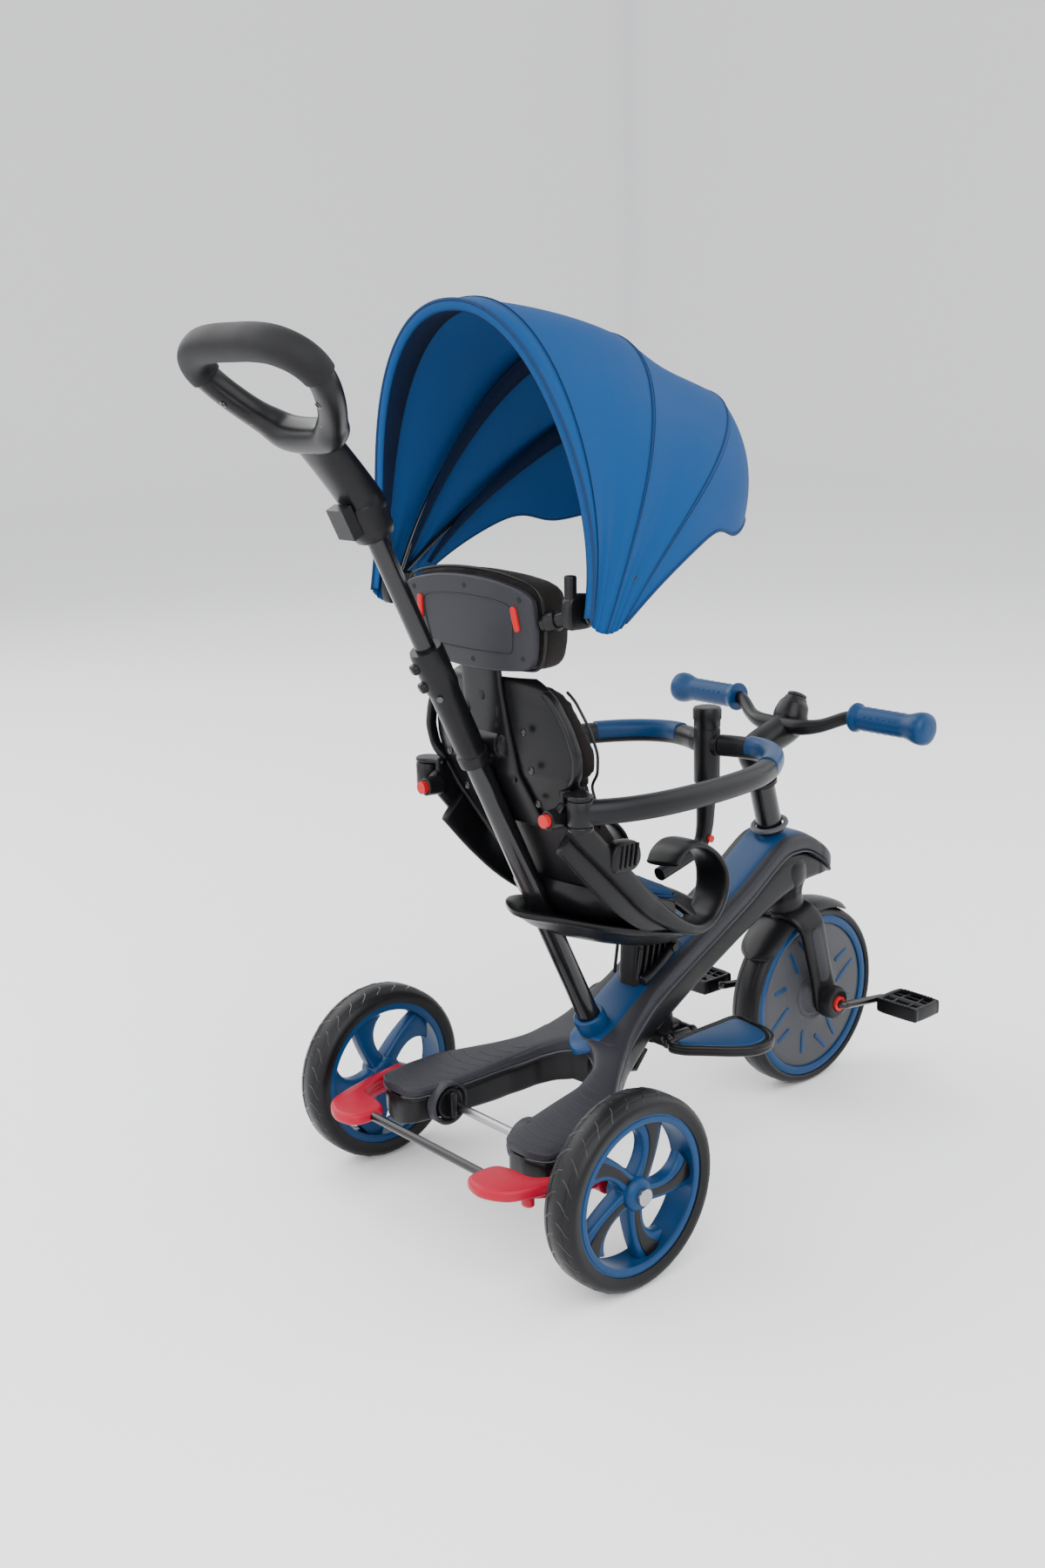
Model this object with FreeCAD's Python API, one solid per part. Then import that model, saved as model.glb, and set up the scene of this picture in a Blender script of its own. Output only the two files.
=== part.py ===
import FreeCAD, Part
import math
import os

# Children's tricycle with a push pole, a folding canopy and a guard ring.
# Millimetres. +X is forward, +Y is left, +Z is up, the ground is Z = 0.
# The dimensions below count X from the rear axle. put() moves every piece so that the
# origin lies on the ground under the middle of the overall length.

V = FreeCAD.Vector
ORIGIN_X = 177.7  # from the rear axle to the middle of the overall length
FIT = 0.05  # radial clearance of a running fit

# ---- wheels ----
REAR_R = 105.0
REAR_Y = 212.0
REAR_TYRE_W = 42.0
REAR_RIM_R = 86.0
AXLE_R = 5.0
FRONT_X = 530.0
FRONT_R = 119.0
FRONT_TYRE_W = 42.0
FRONT_RIM_R = 108.0
FRONT_DISC_R = 96.0

# ---- steering, caster axis through the front hub ----
CASTER = math.radians(16.5)
STEERER_R = 16.0
CROWN_S = 131.5  # top of the fork crown along the caster axis
FORK_Y = 33.0  # inner face of a fork blade
FENDER_R = 122.5
FENDER_T = 3.5
BAR_X = 504.0
BAR_Z = 503.0
BAR_R = 8.0
GRIP_Y = (92.0, 200.0)

# ---- crank and pedals ----
CRANK = 74.0
CRANK_DROP = 8.0
CRANK_R = 5.0
PEDAL_Y = (80.0, 144.0)
PEDAL_X = 52.0
PEDAL_Z = 20.0

# ---- push pole, leaning back, on the centre plane ----
POLE_TOP = V(-141.0, 0, 787.0)
POLE_FOOT = V(149.5, 0, 185.0)
POLE_R = 13.0
SLEEVE_R = 16.5
UPPER_R = 10.5
SOCKET_R = 20.0

# ---- frame ----
SHELL_DEPTH = 24.0

# ---- seat and back ----
SEAT_Y = 98.0
BACK_LEAN = 0.12  # rearward travel per unit of height of the back
TONGUE_X = 1.0
TONGUE_Z = 595.0

# ---- guard ring ----
RING_Z = 483.0
RING_R = 12.5
RING_PIVOT = (20.0, 124.0)
POST_X = 343.0

# ---- canopy ----
HUB = V(12.0, 0, 690.0)
HUB_Y = 155.0
BOW_STEP = 6.5  # sideways step from bow to bow
CLOTH_Y = 174.5
BOW_R = 3.0
FABRIC = 2.5
BOWS = {"rear": (-7.0, 300.0), "mid": (29.0, 304.0), "front": (54.0, 350.0), "hem": (75.0, 326.0)}


def put(name, shape):
    """Move a finished piece to the part's origin, write it and report it."""
    moved = shape.copy()
    moved.translate(V(-ORIGIN_X, 0, 0))
    moved.exportStep("parts/%s.step" % name)
    flag = "" if moved.isValid() else " INVALID"
    print("%-22s solids %d volume %.0f%s" % (name, len(moved.Solids), moved.Volume, flag))


def fuse(shapes):
    """One solid from several that meet."""
    result = shapes[0].multiFuse(shapes[1:])
    return result.removeSplitter()


def group(shapes):
    """Separate solids that share a node."""
    solids = [solid for shape in shapes for solid in shape.Solids]
    return Part.makeCompound(solids)


def rod(start, end, radius):
    axis = end - start
    return Part.makeCylinder(radius, axis.Length, start, axis)


def pipe(start, end, outer, inner):
    return rod(start, end, outer).cut(rod(start, end, inner))


def cone(start, end, r_start, r_end):
    axis = end - start
    return Part.makeCone(r_start, r_end, axis.Length, start, axis)


def block(x0, x1, y0, y1, z0, z1):
    return Part.makeBox(x1 - x0, y1 - y0, z1 - z0, V(x0, y0, z0))


def slab_y(points, y0, y1):
    """A side outline of (x, z) points carried from y0 to y1."""
    corners = [V(x, y0, z) for x, z in points]
    face = Part.Face(Part.makePolygon(corners + corners[:1]))
    return face.extrude(V(0, y1 - y0, 0))


def slab_z(points, z0, z1):
    """A plan outline of (x, y) points carried from z0 to z1."""
    corners = [V(x, y, z0) for x, y in points]
    face = Part.Face(Part.makePolygon(corners + corners[:1]))
    return face.extrude(V(0, 0, z1 - z0))


def slab_x(points, x0, x1):
    """A rear outline of (y, z) points carried from x0 to x1."""
    corners = [V(x0, y, z) for y, z in points]
    face = Part.Face(Part.makePolygon(corners + corners[:1]))
    return face.extrude(V(x1 - x0, 0, 0))


def both(half):
    """A closed (y, z) or (x, y) outline from its half with positive y first."""
    return half + [(-y, z) for y, z in reversed(half)]


def round_path(points, share=0.46):
    """Straight runs joined by tangent arcs, as large as the runs allow."""
    edges = []
    start = points[0]
    for before, here, after in zip(points, points[1:], points[2:]):
        a = before - here
        b = after - here
        turn = math.pi - a.getAngle(b)
        cut = share * min(a.Length, b.Length)
        a.normalize()
        b.normalize()
        radius = cut / math.tan(turn / 2)
        p = here + a * cut
        q = here + b * cut
        bisector = a + b
        bisector.normalize()
        middle = here + bisector * (radius / math.cos(turn / 2) - radius)
        if (p - start).Length > 1e-3:
            edges.append(Part.LineSegment(start, p).toShape())
        edges.append(Part.Arc(p, middle, q).toShape())
        start = q
    edges.append(Part.LineSegment(start, points[-1]).toShape())
    return Part.Wire(edges)


def bar(points, radius, share=0.46):
    """A round bar along a smooth path."""
    wire = round_path(points, share)
    ring = Part.Wire(Part.makeCircle(radius, points[0], points[1] - points[0]))
    return wire.makePipeShell([ring], True, False)


def smooth(shape, radius, keep):
    """Round the edges that keep(edge) picks."""
    edges = [edge for edge in shape.Edges if keep(edge)]
    return shape.makeFillet(radius, edges)


def on_caster(s, forward=0.0, y=0.0):
    """A point at height s along the caster axis, set forward of it."""
    along = V(-math.sin(CASTER), 0, math.cos(CASTER)) * s
    ahead = V(math.cos(CASTER), 0, math.sin(CASTER)) * forward
    return V(FRONT_X, y, FRONT_R) + along + ahead


def on_pole(z, y=0.0):
    """A point of the pole's axis at height z."""
    share = (z - POLE_FOOT.z) / (POLE_TOP.z - POLE_FOOT.z)
    point = POLE_FOOT + (POLE_TOP - POLE_FOOT) * share
    return V(point.x, y, z)


def tyre(x, y, z, outer, inner, width):
    """A solid rubber tyre with rounded shoulders."""
    ring = pipe(V(x, y - width / 2, z), V(x, y + width / 2, z), outer, inner)
    return smooth(ring, 9.0, lambda edge: edge.BoundBox.XLength > 2 * inner + 5)


# ---------------------------------------------------------------- rear wheels and axle
def rear_wheel(side):
    y = side * REAR_Y
    centre = V(0, y, REAR_R)
    across = V(0, 1, 0)
    rim = pipe(centre - across * 18, centre + across * 18, REAR_RIM_R, 74.0)
    hub = rod(centre - across * 19, centre + across * 19, 15.0)
    spokes = []
    for number in range(5):
        spoke = Part.makeBox(68.0, 13.0, 24.0, V(10, y - 6.5, REAR_R - 12))
        spoke.rotate(centre, V(0, 1, 0), 72.0 * number + 18.0)
        spokes.append(spoke)
    wheel = fuse([rim, hub] + spokes)
    return wheel.cut(rod(centre - across * 30, centre + across * 30, AXLE_R + FIT))


def rear_axle():
    shaft = rod(V(0, -232, REAR_R), V(0, 232, REAR_R), AXLE_R)
    bolts = [rod(V(0, side * 231.5, REAR_R), V(0, side * 235.5, REAR_R), 9.0) for side in (1, -1)]
    return fuse([shaft] + bolts)


# ---------------------------------------------------------------- frame
TOP_LINE = [(-56, 136), (-20, 138), (30, 142), (80, 147), (115, 156), (150, 176), (190, 204), (240, 234),
            (310, 268), (385, 308), (420, 332), (452, 352), (490, 351), (520, 334), (548, 312), (562, 298)]
BOTTOM_LINE = [(562, 290), (530, 286), (492, 284), (430, 262), (372, 238), (290, 196), (220, 158), (170, 128),
               (140, 112), (100, 98), (60, 92), (-56, 90)]
PLAN_OUT = [(-56, 132), (-42, 144), (-10, 145), (30, 138), (75, 112), (120, 77), (160, 54), (210, 42),
            (300, 38), (490, 38), (535, 33), (556, 20), (562, 0)]
PLAN_IN = [(-56, 76), (-15, 67), (30, 60), (75, 55), (108, 45), (130, 26), (138, 0)]


def plan(inset):
    """Plan outline of the beam and its two rear legs, drawn in by inset."""
    outer = [(x, y) for x, y in PLAN_OUT]
    inner = [(x, y) for x, y in PLAN_IN]
    right_out = [(x, -y) for x, y in reversed(outer[:-1])]
    right_in = [(x, -y) for x, y in inner[:-1]]
    loop = outer + right_out + right_in + list(reversed(inner))
    corners = [V(x, y, 60) for x, y in loop]
    face = Part.Face(Part.makePolygon(corners + corners[:1]))
    if inset:
        face = face.makeOffset2D(-inset)
    return face.extrude(V(0, 0, 320))


def band(drop_top, drop_bottom):
    """Side outline between two drops below the top line."""
    upper = [(x, z - drop_top) for x, z in TOP_LINE]
    lower = [(x, z - drop_bottom) for x, z in reversed(TOP_LINE)]
    return slab_y(upper + lower, -200, 200)


def beam_body(inset, depth):
    """The beam between its top line and its bottom line or a given depth below the top."""
    under = slab_y(TOP_LINE + BOTTOM_LINE, -200, 200)
    body = plan(inset).common(under)
    if depth:
        body = body.common(band(-1, depth))
    return body


def pole_hole(radius):
    down = POLE_FOOT - (POLE_TOP - POLE_FOOT) * 0.09
    up = POLE_FOOT + (POLE_TOP - POLE_FOOT) * 0.2
    return rod(down, up, radius)


def steer_hole(radius):
    return rod(on_caster(120), on_caster(300), radius)


def frame():
    upper = beam_body(0, SHELL_DEPTH)
    inlay_plan = [(128, 0), (134, 20), (160, 31), (210, 31), (300, 29), (420, 29), (470, 33), (508, 28),
                  (524, 0)]
    inlay_loop = inlay_plan + [(x, -y) for x, y in reversed(inlay_plan[1:-1])]
    inlay = slab_z(inlay_loop, 60, 400).common(band(-1.5, 3.0))
    socket = rod(on_pole(158.0), on_pole(206.0), SOCKET_R)
    axle = rod(V(0, -200, REAR_R), V(0, 200, REAR_R), AXLE_R)
    cavity = pole_hole(SOCKET_R)
    bore = steer_hole(STEERER_R + FIT)
    shell = upper.cut(inlay).cut(cavity).cut(bore).cut(axle)
    lower = beam_body(4.0, None).cut(band(-2, SHELL_DEPTH))
    boss = cone(on_caster(175), on_caster(CROWN_S + 0.5), 31.0, 23.0)
    bump = slab_y([(178, 130), (188, 112), (206, 112), (220, 134), (220, 160), (178, 140)], -16, 16)
    under = fuse([lower, boss.cut(band(-2, SHELL_DEPTH)), bump.cut(band(-2, SHELL_DEPTH))])
    under = under.cut(upper).cut(cavity).cut(bore).cut(axle)
    wells = []
    for side in (1, -1):
        wells.append(rod(V(-12, side * 58, 113), V(-12, side * 88, 113), 21.0))
    knobs = []
    for side in (1, -1):
        disc = rod(V(-12, side * 66, 113), V(-12, side * 82, 113), 19.0)
        grip = block(-15.5, -8.5, min(side * 56, side * 66), max(side * 56, side * 66), 98, 128)
        knobs.append(fuse([disc, grip]).cut(axle))
    under = under.cut(wells[0]).cut(wells[1])
    shell = shell.cut(wells[0]).cut(wells[1])
    inlay = inlay.cut(cavity).cut(bore)
    put("frame_shell", shell)
    put("frame_underside", under)
    put("beam_inlay", inlay)
    put("axle_knobs", group(knobs))
    cup = socket.cut(rod(on_pole(162.0), on_pole(230.0), POLE_R + FIT))
    put("pole_socket", cup)
    low = on_caster(249.0)
    high = on_caster(253.5)
    put("head_ring", pipe(low, high, 27.0, STEERER_R + 0.6).cut(shell).cut(inlay))
    put("rear_axle", rear_axle())


# ---------------------------------------------------------------- brake
def brake():
    pedals = []
    for side in (1, -1):
        paddle = [(-128, 112), (-124, 136), (-104, 160), (-60, 176), (0, 184), (0, 166), (-52, 160),
                  (-70, 142), (-74, 98), (-106, 92), (-122, 96)]
        plate = slab_z([(x, side * y) for x, y in paddle], 108, 120)
        hub = rod(V(0, side * 164, REAR_R), V(0, side * 184, REAR_R), 15.0)
        arm = block(-90, 2, min(side * 166, side * 178), max(side * 166, side * 178), 98, 112)
        pedal = fuse([plate, hub, arm])
        pedal = pedal.cut(rod(V(0, side * 140, REAR_R), V(0, side * 200, REAR_R), AXLE_R + FIT))
        pedals.append(pedal)
    cross_bar = rod(V(-97, -110, 114), V(-97, 110, 114), 5.0)
    put("brake", fuse(pedals + [cross_bar]))


# ---------------------------------------------------------------- fork, fender, stem, handlebar
def steering():
    put("steerer_tube", rod(on_caster(CROWN_S - 5.2), on_caster(330), STEERER_R))
    stem_foot = rod(on_caster(318), on_caster(352), 19.0)
    stem_arm = rod(on_caster(346), V(492, 0, 503), 18.5)
    stem_end = cone(V(486, 0, 495), V(502, 0, 513), 18.5, 14.5)
    bar_line = [V(BAR_X, -GRIP_Y[1] + 3, BAR_Z), V(BAR_X, -84, BAR_Z), V(482, -50, 486), V(474, -14, 484)]
    path = bar_line + [V(p.x, -p.y, p.z) for p in reversed(bar_line)]
    handle_bar = bar(path, BAR_R)
    stem = fuse([stem_foot, stem_arm, stem_end]).cut(rod(on_caster(300), on_caster(330), STEERER_R))
    cap = rod(V(501, 0, 512), V(508, 0, 520), 13.0)
    put("stem", fuse([stem, cap]).cut(handle_bar))
    put("handlebar", handle_bar)
    grips = []
    for side in (1, -1):
        inner = V(BAR_X, side * GRIP_Y[0], BAR_Z)
        outer = V(BAR_X, side * GRIP_Y[1], BAR_Z)
        flange = rod(inner, V(BAR_X, side * (GRIP_Y[0] + 6), BAR_Z), 18.0)
        body = rod(inner, outer, 14.0)
        ball = rod(V(BAR_X, side * (GRIP_Y[1] - 20), BAR_Z), outer, 19.5)
        ball = smooth(ball, 6.0, lambda edge: True if edge.Length > 100 else False)
        grips.append(fuse([flange, body, ball]).cut(handle_bar))
    put("grips", group(grips))
    crown_low = FENDER_R + FENDER_T + 0.3
    crown = rod(on_caster(crown_low - 2), on_caster(CROWN_S), 24.0)
    axis_end = V(FRONT_X, FORK_Y + 11, FRONT_R)
    bridge = pipe(V(FRONT_X, -FORK_Y - 11, FRONT_R), axis_end, CROWN_S - 0.5, crown_low)
    top = on_caster(CROWN_S)
    bridge = bridge.common(block(top.x - 27, top.x + 24, -60, 60, FRONT_R + 60, top.z + 10))
    blades = []
    for side in (1, -1):
        y0 = min(side * FORK_Y, side * (FORK_Y + 11))
        foot = rod(V(FRONT_X, y0, FRONT_R), V(FRONT_X, y0 + 11, FRONT_R), 21.0)
        outline = [(FRONT_X - 19, FRONT_R + 8), (FRONT_X + 19, FRONT_R - 4), (top.x + 22, top.z - 14),
                   (top.x + 20, top.z - 5), (top.x - 22, top.z - 10)]
        blade = slab_y(outline, y0, y0 + 11)
        blades.append(fuse([foot, blade]))
    wheel_room = rod(V(FRONT_X, -FORK_Y, FRONT_R), V(FRONT_X, FORK_Y, FRONT_R), crown_low)
    fork = fuse([crown.cut(wheel_room), bridge] + blades)
    fork = fork.cut(rod(on_caster(100), on_caster(200), STEERER_R))
    fork = fork.cut(rod(V(FRONT_X, -80, FRONT_R), V(FRONT_X, 80, FRONT_R), 8.0))
    fender_end = V(FRONT_X, 30, FRONT_R)
    fender_ring = pipe(V(FRONT_X, -30, FRONT_R), fender_end, FENDER_R + FENDER_T, FENDER_R)
    reach = 400.0
    wedge = [(FRONT_X, FRONT_R)]
    for degrees in (60, 90, 120, 144):
        angle = math.radians(degrees)
        wedge.append((FRONT_X + reach * math.cos(angle), FRONT_R + reach * math.sin(angle)))
    fender = fender_ring.common(slab_y(wedge, -31, 31))
    put("fork", fork.cut(fender))
    put("fender", fender)
    caps = []
    for side in (1, -1):
        near = side * (FORK_Y + 11)
        far = side * (FORK_Y + 27)
        disc = rod(V(FRONT_X, near, FRONT_R), V(FRONT_X, far, FRONT_R), 21.0)
        disc = disc.cut(rod(V(FRONT_X, far - side * 8, FRONT_R), V(FRONT_X, far, FRONT_R), 10.0))
        caps.append(disc.cut(rod(V(FRONT_X, near, FRONT_R), V(FRONT_X, far, FRONT_R), CRANK_R + FIT)))
    put("hub_caps", group(caps))
    face = FORK_Y + 27
    collar = pipe(V(FRONT_X, -face + 5, FRONT_R), V(FRONT_X, -face - 2, FRONT_R), 9.6, CRANK_R + 0.5)
    put("clutch_button", collar)


def front_wheel():
    put("tyre_front", tyre(FRONT_X, 0, FRONT_R, FRONT_R, FRONT_RIM_R, FRONT_TYRE_W))
    band = pipe(V(FRONT_X, -19, FRONT_R), V(FRONT_X, 19, FRONT_R), FRONT_RIM_R, FRONT_DISC_R)
    put("wheel_ring_front", band)
    disc = rod(V(FRONT_X, -17, FRONT_R), V(FRONT_X, 17, FRONT_R), FRONT_DISC_R)
    hub = rod(V(FRONT_X, -FORK_Y + 1, FRONT_R), V(FRONT_X, FORK_Y - 1, FRONT_R), 16.0)
    bore = rod(V(FRONT_X, -60, FRONT_R), V(FRONT_X, 60, FRONT_R), CRANK_R + FIT)
    put("wheel_disc_front", fuse([disc, hub]).cut(bore))


def crank():
    path = []
    for side in (1, -1):
        ahead = -side * CRANK
        lift = side * CRANK_DROP
        leg = [V(FRONT_X + ahead, side * (PEDAL_Y[1] - 6), FRONT_R + lift),
               V(FRONT_X + ahead, side * 73, FRONT_R + lift), V(FRONT_X, side * 68, FRONT_R)]
        path.append(leg)
    line = path[0] + list(reversed(path[1]))
    put("crank", bar(line, CRANK_R, 0.08))
    for side, name in ((1, "pedal_left"), (-1, "pedal_right")):
        x = FRONT_X - side * CRANK
        z = FRONT_R + side * CRANK_DROP
        y0 = min(side * PEDAL_Y[0], side * PEDAL_Y[1])
        y1 = max(side * PEDAL_Y[0], side * PEDAL_Y[1])
        body = block(x - PEDAL_X / 2, x + PEDAL_X / 2, y0, y1, z - PEDAL_Z / 2, z + PEDAL_Z / 2)
        body = smooth(body, 6.0, lambda edge: edge.BoundBox.ZLength > PEDAL_Z - 1)
        for shift in (-16.0, 16.0):
            body = body.cut(block(x + shift - 6, x + shift + 6, y0 + 9, y1 - 9, z - 20, z + 20))
        put(name, body.cut(rod(V(x, y0 - 5, z), V(x, y1 + 5, z), CRANK_R + FIT)))


# ---------------------------------------------------------------- push pole and handle
def pole():
    lower = rod(on_pole(162.3), on_pole(560.0), POLE_R)
    bore = rod(on_pole(330.0), on_pole(700.0), UPPER_R + FIT)
    put("pole_lower", lower.cut(bore))
    sleeve = rod(on_pole(534.0), on_pole(648.0), SLEEVE_R)
    nubs = [rod(on_pole(z), on_pole(z) + V(-20, 6, -9), 6.0) for z in (634.0, 616.0)]
    sleeve = fuse([sleeve] + nubs).cut(bore).cut(lower)
    collar = pipe(on_pole(522.0), on_pole(534.0), 17.5, POLE_R)
    put("pole_sleeve", fuse([sleeve, collar]))


def handle():
    upper = rod(on_pole(450.0), on_pole(812.0), UPPER_R)
    lean = math.radians(43.0)
    foot = V(-156, 0, 818)
    up = V(-math.sin(lean), 0, math.cos(lean))
    half = [(0, 180), (56, 177), (92, 158), (88, 128), (52, 82), (0, 62)]
    loop = []
    for y, s in half + [(-y, s) for y, s in reversed(half[1:-1])]:
        loop.append(foot + up * s + V(0, y, 0))
    start = (loop[0] + loop[-1]) * 0.5
    ring = bar([start] + loop[:] + [start], 15.0, 0.45)
    neck = cone(on_pole(786.0), foot + up * 66, 21.0, 26.0)
    neck = fuse([neck, rod(on_pole(770.0), on_pole(800.0), 20.0)])
    return upper, ring, neck, foot, up


def handle_parts():
    upper, ring, neck, foot, up = handle()
    put("pole_upper", upper)
    cutter = Part.makeBox(400, 400, 200, V(-200, -200, 0))
    turn = FreeCAD.Rotation(V(0, 0, 1), up)
    cutter.Placement = FreeCAD.Placement(foot + up * 138 + turn.multVec(V(-200, -200, 0)), turn)
    shell = fuse([ring, neck]).cut(upper)
    put("handle_grip", shell.common(cutter))
    body = shell.cut(cutter)
    place = FreeCAD.Placement(on_pole(793.0), FreeCAD.Rotation(V(0, 1, 0), -25.8))
    recess = block(-34, -15, -13.1, 13.1, -16.1, 16.1)
    recess.Placement = place
    latch = block(-31, -19, -13, 13, -16, 16)
    latch.Placement = place
    put("handle_shell", body.cut(recess))
    put("handle_latch", latch)


# ---------------------------------------------------------------- seat
def back_x(z):
    """Rear face of the back at height z: the upright part, then the curve under it."""
    upright = TONGUE_X - BACK_LEAN * (z - TONGUE_Z)
    clear = on_pole(z).x + 19.0
    return max(upright, clear)


BACK_LEVELS = [352, 380, 410, 440, 470, 500, 530, 560, 600]


def back_slab(front, back, low, high):
    """The side outline of the back between two depths from its rear face."""
    levels = [low] + [z for z in BACK_LEVELS if low < z < high] + [high]
    rear_line = [(back_x(z) + back, z) for z in levels]
    front_line = [(back_x(z) + front, z) for z in reversed(levels)]
    return slab_y(rear_line + front_line, -150, 150)


def seat(back):
    tray_side = slab_y([(36, 342), (60, 344), (140, 326), (240, 300), (276, 290), (276, 272), (200, 279),
                        (110, 302), (60, 326), (36, 338)], -120, 120)
    tray_half = [(36, 3), (58, 40), (96, 78), (140, 92), (200, 90), (250, 66), (272, 34), (276, 0)]
    tray_plan = slab_z(tray_half + [(x, -y) for x, y in reversed(tray_half[:-1])], 200, 420)
    tray = tray_side.common(tray_plan).cut(rod(on_pole(280), on_pole(380), POLE_R + 1.5))
    put("seat_tray", tray)
    side_line = [(14, 462), (34, 470), (92, 420), (150, 370), (188, 350), (206, 366), (214, 400), (236, 398),
                 (256, 380), (268, 350), (258, 318), (240, 301), (140, 327), (96, 337), (60, 396)]
    walls = []
    for side in (1, -1):
        y0 = side * 84
        y1 = side * SEAT_Y
        walls.append(slab_y(side_line, min(y0, y1), max(y0, y1)))
    floor_line = [(96, 337), (140, 327), (240, 301), (258, 318)]
    floor_line += [(262, 330), (240, 322), (140, 345), (104, 356)]
    floor = slab_y(floor_line, -SEAT_Y, SEAT_Y)
    pommel = slab_y([(240, 301), (258, 318), (268, 350), (256, 380), (236, 372), (238, 330)], -30, 30)
    inside = slab_x(both([(84.5, 376), (84.5, 440), (101, 480)]), -100, 300)
    pad_zone = back_slab(42.0, 0.0, 376, 480).common(inside)
    shell = fuse(walls + [floor, pommel]).cut(tray).cut(back).cut(pad_zone)
    put("seat_shell", shell)
    cushion = slab_y([(112, 358), (140, 346), (236, 323), (232, 338), (142, 364), (118, 374)], -83, 83)
    put("seat_cushion", cushion.cut(pommel).cut(shell))
    column = slab_y([(204, 200), (262, 230), (262, 285), (206, 285)], -19, 19)
    column = column.cut(slab_y(BOTTOM_LINE + TOP_LINE, -60, 60)).cut(band(-1.6, 80)).cut(tray)
    hinge = rod(V(256, -33, 257), V(256, -10, 257), 3.0)
    put("seat_column", fuse([column, hinge]))
    lever = slab_y([(206, 226), (212, 222), (260, 250), (264, 262), (250, 265), (206, 238)], -31, -19.6)
    put("seat_lever", lever.cut(rod(V(256, -50, 257), V(256, 0, 257), 3.0 + FIT)))
    put("harness", block(78, 116, -113, -SEAT_Y, 404, 432).cut(shell))
    return shell


def backrest():
    half = [(60, 352), (84, 400), (94, 440), (105, 468), (106, 503)]
    half += [(116, 512), (112, 552), (96, 590), (62, 614)]
    outline = slab_x(both(half), -100, 300)
    core = back_slab(12.0, 0.0, 352, 614).common(outline)
    tongue = back_slab(8.0, 0.0, 590, 700).common(slab_x(both([(34, 590), (34, 700)]), -100, 100))
    drum = rod(V(17, -26, 540), V(17, 26, 540), 17.0)
    shell = fuse([core, tongue, drum])
    put("back_shell", shell)
    pad_half = [(50, 380), (70, 410), (83, 445), (100, 470), (106, 503)]
    pad_half += [(130, 512), (122, 556), (100, 594), (64, 612)]
    pad = back_slab(40.0, 8.0, 380, 612).common(slab_x(both(pad_half), -100, 300))
    hollow = slab_x(both([(60, 370), (74, 480), (80, 560), (50, 590)]), -100, 300)
    hollow = hollow.common(back_slab(60.0, 24.0, 372, 592))
    put("back_pad", pad.cut(hollow).cut(shell))
    return shell


def guard():
    px, py = RING_PIVOT
    lugs = []
    for side in (1, -1):
        y = side * py
        top = rod(V(px, y, RING_Z + 14), V(px, y, RING_Z + 19), 13.0)
        low = rod(V(px, y, RING_Z - 19), V(px, y, RING_Z - 14), 13.0)
        pin = rod(V(px, y, RING_Z - 19), V(px, y, RING_Z + 19), 5.0)
        y0 = min(side * 99, side * (py - 2))
        y1 = max(side * 99, side * (py - 2))
        web_top = block(px - 6, px + 26, y0, y1, RING_Z + 14, RING_Z + 19)
        web_low = block(px - 6, px + 26, y0, y1, RING_Z - 19, RING_Z - 14)
        y2 = min(side * 99, side * 106)
        y3 = max(side * 99, side * 106)
        cheek = block(px - 6, px + 26, y2, y3, RING_Z - 19, RING_Z + 19)
        boss = rod(V(-4, side * 100, 475), V(px - 6, side * 100, 475), 10.0)
        lug = fuse([top, low, pin, web_top, web_low, cheek, boss])
        lugs.append(lug.cut(rod(V(-12, side * 100, 475), V(10, side * 100, 475), 7.0 + FIT)))
    return lugs


def guard_parts(seat_shell, back_shell):
    lugs = guard()
    px, py = RING_PIVOT
    pad_zone = back_slab(42.0, 12.0, 380, 612)
    lugs = [lug.cut(back_shell).cut(seat_shell).cut(pad_zone) for lug in lugs]
    put("guard_lugs", group(lugs))
    for side, name in ((1, "guard_left"), (-1, "guard_right")):
        points = [V(px, side * py, RING_Z), V(98, side * 161, RING_Z), V(262, side * 158, RING_Z),
                  V(372, side * 98, RING_Z), V(POST_X + 4, side * 19, RING_Z)]
        arm = bar(points, RING_R, 0.47)
        knuckle = rod(V(px, side * py, RING_Z - 13.4), V(px, side * py, RING_Z + 13.4), 13.5)
        arm = fuse([arm, knuckle]).cut(rod(V(px, side * py, 400), V(px, side * py, 560), 5.0 + FIT))
        put(name, arm.cut(rod(V(POST_X, 0, 400), V(POST_X, 0, 560), 16.6)))
    sleeve = rod(V(POST_X, 0, 436), V(POST_X, 0, 514), 15.5)
    stalk = cone(V(POST_X - 5, 0, 362), V(POST_X, 0, 437), 8.0, 12.0)
    bend = rod(V(POST_X - 30, 0, 352), V(POST_X - 5, 0, 366), 8.0)
    foot = rod(V(264, 0, 340), V(POST_X - 29, 0, 352), 8.0)
    post = fuse([sleeve, stalk, bend, foot])
    cap = rod(V(POST_X, 0, 513), V(POST_X, 0, 528), 17.0)
    button_room = rod(V(POST_X - 4, -4.5, 368), V(POST_X - 4, -20, 368), 4.5 + FIT)
    put("guard_post", fuse([post, cap]).cut(seat_shell).cut(button_room))
    put("post_button", rod(V(POST_X - 4, -7.0, 368), V(POST_X - 4, -12.5, 368), 4.5))
    for side, name in ((1, "side_button_left"), (-1, "side_button_right")):
        put(name, rod(V(6.0, side * 100, 475), V(-10.0, side * 100, 475), 7.0))


# ---------------------------------------------------------------- headrest and canopy
def lean(z, depth):
    """A side-view point at height z, set forward of the back's rear face by depth."""
    return (TONGUE_X - BACK_LEAN * (z - TONGUE_Z) + depth, z)


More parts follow.
